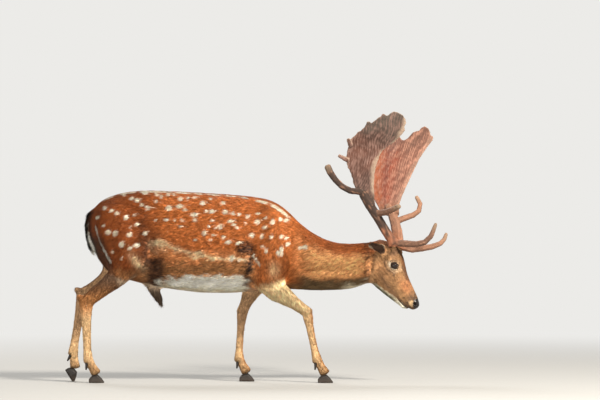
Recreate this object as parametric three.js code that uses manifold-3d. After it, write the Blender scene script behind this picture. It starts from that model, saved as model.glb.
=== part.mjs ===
// A fallow deer buck in its summer coat, life size, walking with its head low and its palmate
// antlers in velvet. Millimetres, +Z up, +X towards the nose, the animal's left side on +Y.
// The origin is on the ground, under the middle of the whole model's box.
// Every piece is a closed solid lofted through rings, and neighbours are parted by thin seams.

import * as THREE from "three";
import { mergeVertices } from "three/addons/utils/BufferGeometryUtils.js";
import Module from "manifold-3d";

const wasm = await Module();
wasm.setup();

// ---- driving dimensions ----

const seam = 0.4; // gap left where two pieces meet
const eyeRadius = 15.5;
const legSpread = { elbow: 92, stifle: 92, knee: 80, foot: 70 }; // from the body's middle plane
const clawLength = 66;
const clawHeight = 38;
const clawHalfWidth = 10.5;
const clawOffset = 11.6; // from the foot's middle line to the middle of each claw
const headYaw = THREE.MathUtils.degToRad(20); // the face is turned towards the right side
const headPitch = THREE.MathUtils.degToRad(52.5); // and points down
const headRoll = THREE.MathUtils.degToRad(8); // with its left side a little lower
const poll = new THREE.Vector3(782, 0, 568); // the head's own origin, between the ears

const sides = { left: 1, right: -1 };
const leftward = new THREE.Vector3(0, 1, 0);
const upward = new THREE.Vector3(0, 0, 1);

// x runs along the face to the nose, y to the animal's left and z out of the forehead.
const headPlace = new THREE.Matrix4()
  .makeRotationFromEuler(new THREE.Euler(-headRoll, headPitch, -headYaw, "ZXY"))
  .setPosition(poll);

// ---- solids ----

// Rings may run either way round, so a solid that comes out inside out has its faces reversed.
function solidOf(geometry, place) {
  if (place) geometry.applyMatrix4(place);
  const merged = mergeVertices(geometry, 1e-3);
  const meshOf = (triVerts) =>
    new wasm.Mesh({ numProp: 3, vertProperties: merged.attributes.position.array, triVerts });
  const faces = new Uint32Array(merged.index.array);
  const solid = new wasm.Manifold(meshOf(faces));
  return solid.volume() > 0 ? solid : new wasm.Manifold(meshOf(faces.toReversed()));
}

function largest(solid) {
  const pieces = solid.decompose();
  return pieces.reduce((a, b) => (b.volume() > a.volume() ? b : a));
}

function joined(solids) {
  return solids.reduce((a, b) => a.add(b));
}

// A closed surface through rings of points, with a fan to the middle of each end ring.
function overRings(rings, place) {
  const count = rings[0].length;
  const points = rings.flat();
  const faces = [];
  for (let r = 0; r + 1 < rings.length; r++) {
    for (let i = 0; i < count; i++) {
      const a = r * count + i;
      const b = r * count + ((i + 1) % count);
      faces.push(a, b, b + count, a, b + count, a + count);
    }
  }
  for (const [start, turned] of [
    [0, true],
    [(rings.length - 1) * count, false],
  ]) {
    const ring = points.slice(start, start + count);
    const middle = ring.reduce((sum, p) => sum.add(p), new THREE.Vector3()).divideScalar(count);
    points.push(middle);
    for (let i = 0; i < count; i++) {
      const a = start + i;
      const b = start + ((i + 1) % count);
      faces.push(...(turned ? [b, a, points.length - 1] : [a, b, points.length - 1]));
    }
  }
  const geometry = new THREE.BufferGeometry().setFromPoints(points).setIndex(faces);
  return solidOf(geometry, place);
}

function arc(value, square) {
  return Math.sign(value) * Math.abs(value) ** (2 / square);
}

// A loft through stations { at, fore, aft, out, squareFore, squareAft }. fore and aft are the
// half depths on either side of the widest line, out is the half width. The rings stand square
// to the path, or upright along the given axis where `upright` is set. Each end is domed, by a
// share `cap` of its size, with one ring at each angle in `caps`.
function loft(stations, { around = 12, upright, grow = 0, cap = 0.6, caps = [68, 34], place } = {}) {
  const last = stations.length - 1;
  const ringAt = (k, shrink = 1, push = 0) => {
    const { at, fore, aft, out, squareFore = 2, squareAft = 2 } = stations[k];
    const ahead = new THREE.Vector3(...stations[Math.min(k + 1, last)].at);
    const tangent = ahead.sub(new THREE.Vector3(...stations[Math.max(k - 1, 0)].at)).normalize();
    const across = leftward.clone().addScaledVector(tangent, -leftward.dot(tangent)).normalize();
    const facing = new THREE.Vector3().crossVectors(tangent, across);
    if (upright) {
      across.copy(leftward);
      facing.copy(upright);
    }
    return Array.from({ length: around }, (_, i) => {
      const angle = (2 * Math.PI * i) / around;
      const square = Math.cos(angle) > 0 ? squareFore : squareAft;
      const depth = (Math.cos(angle) > 0 ? fore : aft) + grow;
      return new THREE.Vector3(...at)
        .addScaledVector(tangent, push)
        .addScaledVector(facing, shrink * depth * arc(Math.cos(angle), square))
        .addScaledVector(across, shrink * (out + grow) * arc(Math.sin(angle), square));
    });
  };
  const domed = (k, towards) => {
    const reach = cap * Math.min(stations[k].fore, stations[k].out) + grow;
    return caps
      .map(THREE.MathUtils.degToRad)
      .map((a) => ringAt(k, Math.cos(a), towards * reach * Math.sin(a)));
  };
  const rings = [...domed(0, -1), ...stations.map((_, k) => ringAt(k)), ...domed(last, 1).reverse()];
  return overRings(rings, place);
}

// Stations of a round limb along a list of points, with one radius for each.
function rounds(points, radii) {
  return points.map((at, i) => ({ at, fore: radii[i], aft: radii[i], out: radii[i] }));
}

function ellipsoid(centre, radii, place, grow = 0) {
  const geometry = new THREE.SphereGeometry(1, 8, 6);
  geometry.deleteAttribute("normal");
  geometry.deleteAttribute("uv");
  geometry.scale(...radii.map((r) => r + grow)).translate(...centre);
  return solidOf(geometry, place);
}

// ---- trunk and neck ----

// x, then the heights of the back, the widest line and the belly, and the half width.
const spineRows = [
  [-462, 742, 655, 585, 52],
  [-438, 776, 652, 520, 88],
  [-395, 801, 645, 468, 112],
  [-330, 821, 638, 440, 126],
  [-240, 830, 622, 416, 134],
  [-130, 827, 598, 396, 150],
  [0, 820, 580, 380, 164],
  [120, 813, 574, 378, 160],
  [215, 805, 578, 384, 146],
  [295, 792, 582, 389, 128],
  [345, 769, 578, 392, 117],
  [390, 731, 562, 395, 106],
  [432, 687, 538, 393, 96],
  [480, 650, 516, 390, 87],
  [540, 618, 502, 390, 77],
  [602, 602, 497, 391, 70],
  [660, 601, 500, 398, 65],
  [715, 606, 512, 416, 61],
  [762, 608, 525, 442, 55],
];

function spine(grow) {
  const stations = spineRows.map(([x, back, widest, belly, half]) => ({
    at: [x, 0, widest],
    fore: back - widest,
    aft: widest - belly,
    out: half,
    squareFore: 1.85,
    squareAft: 2.1,
  }));
  return loft(stations, { around: 16, upright: upward, cap: 0.35, grow });
}

// ---- head, in its own frame ----

// x along the face, then the heights of its top, its widest line and its underside, half width.
const headRows = [
  [-34, 30, -10, -84, 46],
  [0, 54, 0, -102, 54],
  [40, 66, 5, -119, 60],
  [78, 63, 6, -125, 62],
  [110, 50, 2, -120, 57],
  [145, 37, -8, -111, 45],
  [180, 29, -16, -101, 36],
  [215, 24, -20, -89, 32],
  [245, 19, -22, -78, 31],
  [270, 14, -22, -65, 30],
  [293, 6, -18, -42, 24],
];
const eyeCentre = [106, 50, 17];
const pedicle = { foot: [52, 30, 40], top: [24, 37, 64], radii: [22, 18] };

function eyeball(side, grow = 0, place = null) {
  const [x, y, z] = eyeCentre;
  return ellipsoid([x, side * y, z], [eyeRadius, eyeRadius, eyeRadius], place, grow);
}

function headFlesh() {
  const stations = headRows.map(([x, top, widest, under, half]) => ({
    at: [x, 0, widest],
    fore: top - widest,
    aft: widest - under,
    out: half,
    squareFore: 1.8,
    squareAft: 1.5, // the face narrows to the jaw
  }));
  const parts = [loft(stations, { around: 12, upright: upward, cap: 0.5, place: headPlace })];
  for (const side of Object.values(sides)) {
    const mirrored = ([x, y, z]) => [x, side * y, z];
    parts.push(ellipsoid([103, side * 46, 20], [30, 15, 18], headPlace)); // eye socket's rim
    const stalk = rounds([pedicle.foot, pedicle.top].map(mirrored), pedicle.radii);
    parts.push(loft(stalk, { around: 8, cap: 0.05, caps: [], place: headPlace }));
  }
  return joined(parts);
}

// ---- ears ----

const ear = {
  base: [20, 54, 10],
  tip: [6, 200, 16],
  opening: new THREE.Vector3(0.85, 0.1, -0.5), // the way the hollow faces
  widths: [13, 20, 30, 34, 32, 26, 16, 6],
  backs: [13, 17, 19, 18, 15, 11, 7, 3.5], // how far the back of the shell bulges
  fronts: [13, 9, -10, -13, -11, -7.5, -3.5, 0.5], // negative where it is hollow
};

function earShell(side, grow = 0, place = null) {
  const base = new THREE.Vector3(ear.base[0], side * ear.base[1], ear.base[2]);
  const tip = new THREE.Vector3(ear.tip[0], side * ear.tip[1], ear.tip[2]);
  const along = tip.clone().sub(base).normalize();
  const facing = ear.opening.clone();
  facing.y *= side;
  facing.addScaledVector(along, -facing.dot(along)).normalize();
  const across = new THREE.Vector3().crossVectors(along, facing);
  const half = 6;
  const last = ear.widths.length - 1;
  const rings = [];
  for (let k = 0; k <= last; k++) {
    const centre = base.clone().lerp(tip, k / last);
    const point = (angle, depth) =>
      centre
        .clone()
        .addScaledVector(across, (ear.widths[k] + grow) * Math.cos(angle))
        .addScaledVector(facing, depth * Math.sin(angle));
    const ring = [];
    for (let i = 0; i < half; i++) ring.push(point((Math.PI * i) / half, ear.fronts[k] + grow));
    for (let i = 0; i < half; i++) {
      ring.push(point(Math.PI - (Math.PI * i) / half, -ear.backs[k] - grow));
    }
    rings.push(ring);
  }
  return overRings(rings, place);
}

// ---- antlers, in the head's frame ----

// The palm's edges and the tines are given as seen, with y outwards from the middle of the head.
const antlerShapes = {
  right: {
    beam: [[23, 37, 66], [0, 42, 68], [-45, 55, 72], [-107, 76, 80], [-164, 98, 86], [-212, 114, 94]],
    beamRadii: [20, 19.5, 19, 19, 20, 20],
    brow: [
      [12, 40, 62], [34, 42, 86], [58, 44, 112], [88, 48, 147], [106, 52, 184], [102, 55, 222],
      [86, 57, 249], [74, 58, 268],
    ],
    trez: [[-122, 80, 86], [-93, 96, 126], [-80, 112, 160], [-70, 124, 192]],
    back: [
      [-226, 118, 92], [-257, 130, 58], [-291, 138, 41], [-332, 146, 34], [-369, 152, 35],
      [-398, 156, 41],
    ],
    rear: [
      [-176, 104, 70], [-234, 122, 70], [-279, 136, 88], [-321, 153, 110], [-362, 174, 131],
      [-396, 192, 167], [-414, 208, 208], [-420, 221, 258], [-420, 226, 304], [-414, 222, 352],
      [-400, 210, 396],
    ],
    front: [
      [-148, 92, 102], [-173, 93, 114], [-218, 104, 150], [-261, 115, 191], [-290, 126, 236],
      [-308, 137, 285], [-311, 147, 330], [-310, 158, 374], [-320, 169, 409], [-340, 180, 433],
      [-366, 192, 436],
    ],
    points: [
      { from: [-358, 175, 132], to: [-392, 193, 117], radius: 10 },
      { from: [-394, 199, 184], to: [-418, 214, 194], radius: 11 },
    ],
    outline: [
      [755, 730], [748, 787], [745, 845], [749, 903], [757, 937], [768, 968], [780, 993],
      [797, 1009], [832, 1032], [860, 1058], [877, 1081], [875, 1096], [882, 1112], [879, 1129],
      [869, 1145], [847, 1158], [832, 1161], [819, 1155], [808, 1146], [798, 1144], [788, 1152],
      [782, 1150], [774, 1140], [735, 1112], [727, 1117], [716, 1117], [712, 1105], [705, 1094],
      [692, 1081], [679, 1075], [664, 1056], [651, 1046], [641, 1040], [640, 1020], [632, 985],
      [629, 968], [630, 946], [636, 924], [647, 903], [660, 864], [671, 830], [692, 798], [728, 730],
    ],
  },
  left: {
    beam: [[23, 37, 66], [-2, 43, 74], [-38, 54, 88], [-84, 68, 102], [-124, 82, 110], [-160, 94, 114]],
    beamRadii: [20, 23.5, 24, 21, 20, 20],
    brow: [
      [12, 40, 62], [36, 40, 76], [68, 42, 103], [90, 48, 140], [110, 53, 180], [120, 56, 216],
      [115, 58, 242], [102, 58, 260],
    ],
    trez: [
      [-86, 66, 100], [-76, 80, 146], [-68, 94, 180], [-69, 102, 211], [-92, 106, 233],
      [-126, 108, 236],
    ],
    back: [[-250, 144, 82], [-282, 158, 54], [-318, 168, 40], [-352, 176, 36], [-380, 180, 42]],
    rear: [
      [-150, 98, 84], [-183, 114, 78], [-244, 142, 74], [-300, 166, 88], [-353, 187, 112],
      [-396, 206, 140], [-432, 222, 178], [-452, 232, 214], [-460, 236, 244], [-481, 240, 277],
      [-500, 243, 317],
    ],
    front: [
      [-112, 82, 132], [-144, 92, 150], [-169, 104, 184], [-196, 117, 222], [-228, 130, 264],
      [-259, 142, 310], [-283, 155, 352], [-298, 164, 380], [-310, 172, 398], [-329, 181, 426],
      [-350, 188, 457],
    ],
    points: [
      { from: [-436, 226, 184], to: [-466, 241, 186], radius: 8 },
      { from: [-396, 206, 142], to: [-422, 221, 130], radius: 7 },
    ],
    outline: [
      [858, 680], [856, 757], [869, 796], [907, 879], [946, 959], [968, 993], [1006, 1043],
      [1008, 1056], [995, 1063], [993, 1079], [985, 1093], [972, 1101], [957, 1094], [948, 1082],
      [933, 1078], [922, 1075], [909, 1060], [897, 1047], [884, 1040], [871, 1043], [862, 1058],
      [851, 1082], [838, 1094], [826, 1098], [815, 1088], [806, 1073], [788, 1064], [778, 1036],
      [763, 1021], [759, 998], [746, 972], [746, 946], [735, 920], [737, 843], [744, 808],
      [757, 778], [774, 745], [791, 680],
    ],
  },
};
const palmThickness = [17, 14, 9, 7, 6.5, 6, 6, 5.5, 5.5, 5, 4.5];
const browRadii = [12, 15, 14.5, 13, 12, 10.5, 9, 7];
const pointThickness = [8, 5.2];
const palmCup = 16; // how far the middle of the palm bows outwards
const palmOverhang = 20; // how far the blade passes the outline that trims it

// The blade is a flat loft whose ring at each step spans from its rear edge to its front edge.
function palmBlade(shape, side, grow = 0) {
  const place = (p) => new THREE.Vector3(p[0], side * p[1], p[2]);
  const rear = shape.rear.map(place);
  const front = shape.front.map(place);
  const around = 8;
  const last = rear.length - 1;
  const middle = (k) => rear[k].clone().lerp(front[k], 0.5);
  const ringAt = (k, shrink, push) => {
    const ahead = middle(Math.min(k + 1, last)).sub(middle(Math.max(k - 1, 0))).normalize();
    const half = front[k].clone().sub(rear[k]).multiplyScalar(0.5);
    const reach = half.length() + palmOverhang;
    half.normalize();
    const flat = new THREE.Vector3().crossVectors(ahead, half).normalize().multiplyScalar(side);
    return Array.from({ length: around }, (_, i) => {
      const angle = (side * 2 * Math.PI * i) / around;
      const share = arc(Math.cos(angle), 2.6);
      const bow = palmCup * (1 - share * share) * Math.min(1, k / 3);
      const thick = (palmThickness[k] + grow) * arc(Math.sin(angle), 2.2);
      return middle(k)
        .addScaledVector(ahead, push)
        .addScaledVector(half, share * reach * shrink)
        .addScaledVector(flat, shrink * (thick - bow));
    });
  };
  const rings = [ringAt(0, 0.5, -10 - grow)];
  for (let k = 0; k <= last; k++) rings.push(ringAt(k, 1, 0));
  rings.push(ringAt(last, 0.8, 9 + palmOverhang));
  return overRings(rings);
}

// The outline is given in the deer's own frame, forward and up, and cuts straight across.
function palmTrim(outline, grow) {
  const flat = outline.map((point) => new THREE.Vector2(...point));
  const edge = flat.map((point, i) => {
    const ahead = flat[(i + 1) % flat.length].clone().sub(flat.at(i - 1)).normalize();
    return point.clone().add(new THREE.Vector2(ahead.y, -ahead.x).multiplyScalar(1.4 * grow));
  });
  const options = { depth: 800, bevelEnabled: false };
  const geometry = new THREE.ExtrudeGeometry(new THREE.Shape(edge), options);
  geometry.deleteAttribute("normal");
  geometry.deleteAttribute("uv");
  geometry.rotateX(Math.PI / 2).translate(0, 400, 0);
  return solidOf(geometry, headPlace.clone().invert());
}

function palmPlate(shape, side, grow = 0) {
  return palmBlade(shape, side, grow).intersect(palmTrim(shape.outline, grow));
}

function antlerLimb(points, radii, side, options) {
  const placed = points.map(([x, y, z]) => [x, side * y, z]);
  return loft(rounds(placed, radii), { around: 6, cap: 0.9, caps: [50], ...options });
}

// A flat point on the palm's rim.
function palmPoint({ from, to, radius }, side) {
  const stations = [
    { at: [from[0], side * from[1], from[2]], fore: radius, aft: radius, out: pointThickness[0] },
    { at: [to[0], side * to[1], to[2]], fore: radius * 0.7, aft: radius * 0.7, out: pointThickness[1] },
  ];
  return loft(stations, { around: 6, cap: 0.8, caps: [40] });
}

// The beam with the burr at its foot.
function antlerBeam(sideName, grow = 0, place) {
  const side = sides[sideName];
  const { beam, beamRadii } = antlerShapes[sideName];
  const burr = antlerLimb(beam.slice(0, 2), [27, 20], side, { around: 8, cap: 0.12, grow, place });
  return antlerLimb(beam, beamRadii, side, { grow, place }).add(burr);
}

function browTine(sideName, grow = 0, place) {
  return antlerLimb(antlerShapes[sideName].brow, browRadii, sides[sideName], { grow, place });
}

function antler(sideName) {
  const side = sides[sideName];
  const shape = antlerShapes[sideName];
  const trezRadii = [14, 13, 12, 11, 10, 8].slice(0, shape.trez.length);
  const trez = antlerLimb(shape.trez, trezRadii, side);
  const backRadii = [13, 13, 12.5, 12.5, 14, 14.5].slice(0, shape.back.length);
  const back = antlerLimb(shape.back, backRadii, side, { cap: 0.5 });
  const points = shape.points.map((point) => palmPoint(point, side));
  const palm = joined([palmPlate(shape, side), ...points]);
  const grownBeam = antlerBeam(sideName, seam);
  const grownPalm = palmPlate(shape, side, seam);
  const name = (part) => "antler_" + sideName + "_" + part;
  return {
    [name("beam")]: antlerBeam(sideName),
    [name("palm")]: largest(palm.subtract(grownBeam)),
    [name("brow_tine")]: largest(browTine(sideName).subtract(grownBeam)),
    [name("trez_tine")]: largest(trez.subtract(grownBeam).subtract(grownPalm)),
    [name("back_tine")]: largest(back.subtract(grownBeam).subtract(grownPalm)),
  };
}

// ---- legs ----

// Joints as [x, z]. The hoof's pitch lifts its heel.
const forelegs = {
  right: { elbow: [270, 440], carpus: [460, 303], fetlock: [502, 101], coronet: [537, 42], heel: 0 },
  left: { elbow: [252, 462], carpus: [181, 303], fetlock: [166, 101], coronet: [199, 42], heel: 0 },
};
const hindlegs = {
  right: {
    haunch: [
      [-386, 72, 742, 62, 60, 38],
      [-372, 86, 680, 92, 84, 49],
      [-335, 92, 602, 102, 90, 53],
      [-311, 94, 532, 86, 80, 49],
      [-300, 92, 482, 62, 74, 41],
    ],
    stifle: [-305, 500],
    hock: [-488, 345],
    fetlock: [-479, 101],
    coronet: [-444, 42],
    heel: 0,
  },
  left: {
    haunch: [
      [-399, 72, 742, 62, 73, 38],
      [-385, 86, 680, 92, 97, 49],
      [-357, 92, 602, 102, 103, 53],
      [-343, 94, 532, 86, 93, 49],
      [-332, 92, 472, 62, 87, 41],
    ],
    stifle: [-337, 490],
    hock: [-506, 372],
    fetlock: [-549, 127],
    coronet: [-540, 63],
    heel: 58,
  },
};
const shoulderRows = [
  [288, 84, 742, 36, 40, 20],
  [292, 98, 680, 60, 62, 28],
  [300, 107, 600, 78, 78, 35],
  [302, 109, 530, 80, 82, 39],
];

// How thick a leg is at shares of the way from one joint to the next: [share, fore, aft, out].
const forearmGirths = [
  [0, 50, 46, 37], [0.33, 52, 50, 34], [0.51, 39, 39, 28], [0.7, 29, 29, 22], [0.87, 25, 24, 20],
];
const cannonGirths = [
  [0, 26, 25, 23], [0.13, 22, 23, 20], [0.3, 17, 19, 14.5], [0.55, 15, 18, 13], [0.82, 16, 18, 14],
];
const gaskinGirths = [
  [0, 58, 60, 40], [0.25, 52, 52, 36], [0.45, 42, 43, 29], [0.66, 35, 35, 23], [0.85, 31, 31, 20],
];
const shankGirths = [
  [0, 36, 35, 22], [0.17, 27, 27, 19], [0.35, 22, 23, 15], [0.62, 18, 20, 13.5],
  [0.85, 18, 20, 14],
];
const pasternGirths = [[0.05, 22, 24, 19], [0.5, 18, 20, 17], [1, 23, 24, 20]];

function limb(from, to, girths, [outFrom, outTo], side) {
  return girths.map(([share, fore, aft, out]) => ({
    at: [
      THREE.MathUtils.lerp(from[0], to[0], share),
      side * THREE.MathUtils.lerp(outFrom, outTo, share),
      THREE.MathUtils.lerp(from[1], to[1], share),
    ],
    fore,
    aft,
    out,
  }));
}

// One claw of a cloven hoof: flat below, highest at the coronet, with a pointed toe.
// Its rows are [share of its length, share of its height, share of its width].
const clawRows = [
  [-0.42, 0.55, 0.8],
  [-0.2, 0.92, 1.05],
  [0.08, 0.98, 1.05],
  [0.34, 0.56, 0.8],
  [0.5, 0.18, 0.42],
];
const clawSole = 3; // how deep its underside is cut away to make the flat that it stands on

function clawAt({ coronet, heel }, side, inner, grow = 0) {
  const stations = clawRows.map(([along, tall, wide]) => ({
    at: [along * clawLength, 0, 0.3 * tall * clawHeight],
    fore: 0.7 * tall * clawHeight,
    aft: 0.3 * tall * clawHeight + clawSole,
    out: wide * clawHalfWidth,
    squareFore: 2.2,
    squareAft: 4,
  }));
  const place = new THREE.Matrix4().makeRotationAxis(leftward, THREE.MathUtils.degToRad(heel));
  const toe = new THREE.Vector3(clawLength / 2, 0, 0).applyMatrix4(place);
  const crown = new THREE.Vector3(0, 0, clawHeight).applyMatrix4(place);
  const out = side * legSpread.foot + inner * clawOffset;
  place.setPosition(coronet[0] - crown.x * 0.8, out, heel ? -toe.z - clawSole : 0);
  const options = { around: 7, caps: [45], upright: upward, grow, cap: 0.5, place };
  return loft(stations, options).trimByPlane([0, 0, 1], -grow);
}

function dewclawAt({ fetlock, coronet }, side, inner, grow = 0) {
  const down = new THREE.Vector3(coronet[0] - fetlock[0], 0, coronet[1] - fetlock[1]).normalize();
  const behind = new THREE.Vector3().crossVectors(down, leftward).negate();
  const root = new THREE.Vector3(fetlock[0], side * legSpread.foot + inner * 10, fetlock[1])
    .addScaledVector(down, 14)
    .addScaledVector(behind, 14);
  const tip = root.clone().addScaledVector(down, 20).addScaledVector(behind, 15);
  tip.y += inner * 4;
  return loft(rounds([root.toArray(), tip.toArray()], [8, 4]), { around: 5, caps: [45], grow });
}

function feetOf(kind, legs) {
  const nodes = {};
  for (const [sideName, side] of Object.entries(sides)) {
    for (const [clawName, inner] of [["inner", -side], ["outer", side]]) {
      nodes[`hoof_${kind}_${sideName}_${clawName}`] = clawAt(legs[sideName], side, inner);
      nodes[`dewclaw_${kind}_${sideName}_${clawName}`] = dewclawAt(legs[sideName], side, inner);
    }
  }
  return nodes;
}

function withoutFeet(flesh, leg, side) {
  let cut = flesh;
  for (const inner of [-1, 1]) {
    cut = cut.subtract(clawAt(leg, side, inner, seam)).subtract(dewclawAt(leg, side, inner, seam));
  }
  return largest(cut);
}

// The leg from its carpus or hock down to the coronet.
function lowerStations(joint, { fetlock, coronet }, girths, side) {
  const { knee, foot } = legSpread;
  return [
    ...limb(joint, fetlock, girths, [knee, foot], side),
    ...limb(fetlock, coronet, pasternGirths, [foot, foot], side),
  ];
}

// A slab of muscle through rows of [x, y, z, fore, aft, half width].
function muscle(rows, side, grow) {
  const stations = rows.map(([x, y, z, fore, aft, out]) => ({ at: [x, side * y, z], fore, aft, out }));
  return loft(stations, { around: 10, grow });
}

function foreleg(sideName, grow = 0) {
  const side = sides[sideName];
  const leg = forelegs[sideName];
  const [x, z] = leg.elbow;
  const upperArm = [
    [x + 24, 106, z + 28, 74, 76, 40],
    [x + 12, 100, z - 8, 52, 58, 36],
  ];
  const stations = [
    ...limb(leg.elbow, leg.carpus, forearmGirths, [legSpread.elbow, legSpread.knee], side),
    ...lowerStations(leg.carpus, leg, cannonGirths, side),
  ];
  return joined([
    muscle([...shoulderRows, ...upperArm], side, grow),
    loft(stations, { around: 9, grow, cap: 0.4, caps: [50] }),
  ]);
}

function hindleg(sideName, grow = 0) {
  const side = sides[sideName];
  const leg = hindlegs[sideName];
  const [x, z] = leg.hock;
  const heelBone = [
    [x + 14, legSpread.knee, z - 12, 24, 24, 17],
    [x - 20, legSpread.knee, z + 18, 17, 17, 13],
    [x - 30, legSpread.knee, z + 28, 11, 11, 10],
  ];
  const stations = [
    ...limb(leg.stifle, leg.hock, gaskinGirths, [legSpread.stifle, legSpread.knee], side),
    ...lowerStations(leg.hock, leg, shankGirths, side),
  ];
  return joined([
    muscle(leg.haunch, side, grow),
    loft(stations, { around: 9, grow, cap: 0.4, caps: [50] }),
    muscle(heelBone, side, grow),
  ]);
}

// Parts a leg at the joint [x, z], square to the line from the joint above to the one below.
function parted(leg, joint, above, below) {
  const normal = [above[0] - below[0], 0, above[1] - below[1]];
  const length = Math.hypot(...normal);
  const unit = normal.map((n) => n / length);
  const offset = unit[0] * joint[0] + unit[2] * joint[1];
  return {
    upper: largest(leg.trimByPlane(unit, offset + seam / 2)),
    lower: largest(leg.trimByPlane(unit.map((n) => -n), seam / 2 - offset)),
  };
}

// ---- tail and sheath ----

function tailLoft() {
  const rows = [
    [-446, 744, 12, 20],
    [-470, 722, 12, 22],
    [-481, 684, 12, 23],
    [-481, 640, 11, 22],
    [-473, 596, 10, 18],
    [-461, 562, 7, 10],
  ];
  const stations = rows.map(([x, z, thick, half]) => ({ at: [x, 0, z], fore: thick, aft: thick, out: half }));
  return loft(stations, { around: 9, caps: [45] });
}

function sheathLoft() {
  const rows = [
    [-208, 420, 26, 22],
    [-190, 388, 22, 19],
    [-178, 362, 15, 13],
    [-168, 338, 6, 5],
  ];
  const stations = rows.map(([x, z, deep, half]) => ({ at: [x, 0, z], fore: deep, aft: deep, out: half }));
  return loft(stations, { around: 8 });
}

// ---- the whole animal, parted ----

function fleshNodes() {
  let whole = spine(0).add(headFlesh());
  for (const [sideName, side] of Object.entries(sides)) {
    whole = whole.subtract(eyeball(side, seam, headPlace)).subtract(earShell(side, seam, headPlace));
    whole = whole.subtract(antlerBeam(sideName, seam, headPlace));
    whole = whole.subtract(browTine(sideName, seam, headPlace));
  }
  const body = spine(seam);
  const neckBase = { normal: [0.985, 0, -0.174], at: 402 * 0.985 - 560 * 0.174 };
  const neckTop = { normal: [0.976, 0, -0.216], at: 744 * 0.976 - 514 * 0.216 };
  const flipped = (n) => n.map((v) => -v);
  const beyondBase = whole.trimByPlane(neckBase.normal, neckBase.at + seam / 2);
  const nodes = {
    trunk: largest(whole.trimByPlane(flipped(neckBase.normal), seam / 2 - neckBase.at)),
    neck: largest(beyondBase.trimByPlane(flipped(neckTop.normal), seam / 2 - neckTop.at)),
    head: largest(beyondBase.trimByPlane(neckTop.normal, neckTop.at + seam / 2)),
    tail: largest(tailLoft().subtract(body)),
    sheath: largest(sheathLoft().subtract(body)),
  };
  for (const [sideName, side] of Object.entries(sides)) {
    const fore = forelegs[sideName];
    const hind = hindlegs[sideName];
    const front = parted(foreleg(sideName).subtract(body), fore.carpus, fore.elbow, fore.fetlock);
    const rear = parted(hindleg(sideName).subtract(body), hind.hock, hind.stifle, hind.fetlock);
    nodes["foreleg_" + sideName + "_upper"] = front.upper;
    nodes["foreleg_" + sideName + "_lower"] = withoutFeet(front.lower, fore, side);
    nodes["hindleg_" + sideName + "_upper"] = rear.upper;
    nodes["hindleg_" + sideName + "_lower"] = withoutFeet(rear.lower, hind, side);
  }
  return nodes;
}

const finishes = {
  coat: new THREE.MeshStandardMaterial({ color: 0xa8603a, roughness: 0.85, metalness: 0 }),
  velvet: new THREE.MeshStandardMaterial({ color: 0x93695c, roughness: 0.9, metalness: 0 }),
  horn: new THREE.MeshStandardMaterial({ color: 0x2b2622, roughness: 0.5, metalness: 0 }),
  eye: new THREE.MeshStandardMaterial({ color: 0x140d0a, roughness: 0.08, metalness: 0 }),
};

function addNodes(group, solids, material) {
  for (const [name, solid] of Object.entries(solids)) {
    const made = solid.getMesh();
    const geometry = new THREE.BufferGeometry()
      .setAttribute("position", new THREE.BufferAttribute(new Float32Array(made.vertProperties), 3))
      .setIndex(new THREE.BufferAttribute(new Uint32Array(made.triVerts), 1));
    geometry.computeVertexNormals();
    const mesh = new THREE.Mesh(geometry, material);
    mesh.name = name;
    group.add(mesh);
  }
}

const deer = new THREE.Group();
addNodes(deer, fleshNodes(), finishes.coat);
addNodes(deer, { ...feetOf("fore", forelegs), ...feetOf("hind", hindlegs) }, finishes.horn);

const headGroup = new THREE.Group();
headGroup.applyMatrix4(headPlace);
deer.add(headGroup);
for (const [sideName, side] of Object.entries(sides)) {
  addNodes(headGroup, { ["ear_" + sideName]: earShell(side) }, finishes.coat);
  addNodes(headGroup, { ["eye_" + sideName]: eyeball(side) }, finishes.eye);
  addNodes(headGroup, antler(sideName), finishes.velvet);
}

// The group is moved so that the origin is under the middle of its box.
const box = new THREE.Box3().setFromObject(deer, true);
deer.position.set(-(box.min.x + box.max.x) / 2, -(box.min.y + box.max.y) / 2, -box.min.z);

export default deer;
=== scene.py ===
import math

import bpy
import numpy as np
from mathutils import Matrix, Vector
from mathutils.bvhtree import BVHTree


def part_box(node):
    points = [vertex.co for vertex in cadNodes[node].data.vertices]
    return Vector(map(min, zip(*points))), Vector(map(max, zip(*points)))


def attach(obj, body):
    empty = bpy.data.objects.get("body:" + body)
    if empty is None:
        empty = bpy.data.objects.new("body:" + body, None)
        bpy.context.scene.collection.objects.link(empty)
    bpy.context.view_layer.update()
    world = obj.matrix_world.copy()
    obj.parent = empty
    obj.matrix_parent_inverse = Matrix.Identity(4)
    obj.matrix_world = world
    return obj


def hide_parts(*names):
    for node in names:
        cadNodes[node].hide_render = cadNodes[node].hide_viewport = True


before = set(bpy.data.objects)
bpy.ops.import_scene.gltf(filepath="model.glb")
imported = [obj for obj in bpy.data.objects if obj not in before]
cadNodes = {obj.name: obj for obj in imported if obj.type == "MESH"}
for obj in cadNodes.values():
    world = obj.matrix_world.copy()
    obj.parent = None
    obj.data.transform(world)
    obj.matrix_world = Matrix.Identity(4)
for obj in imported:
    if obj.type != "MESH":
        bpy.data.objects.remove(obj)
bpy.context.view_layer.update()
sideSigns = {"left": 1, "right": -1}


def deselectAll():
    bpy.ops.object.select_all(action="DESELECT")


def pick(*pieces):
    deselectAll()
    for piece in pieces:
        piece.select_set(True)
    bpy.context.view_layer.objects.active = pieces[0]


def joined(pieces):
    pick(*pieces)
    if len(pieces) > 1:
        bpy.ops.object.join()
    return pieces[0]


def placed(label, data):
    piece = bpy.data.objects.new(label, data)
    bpy.context.scene.collection.objects.link(piece)
    return piece


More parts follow.
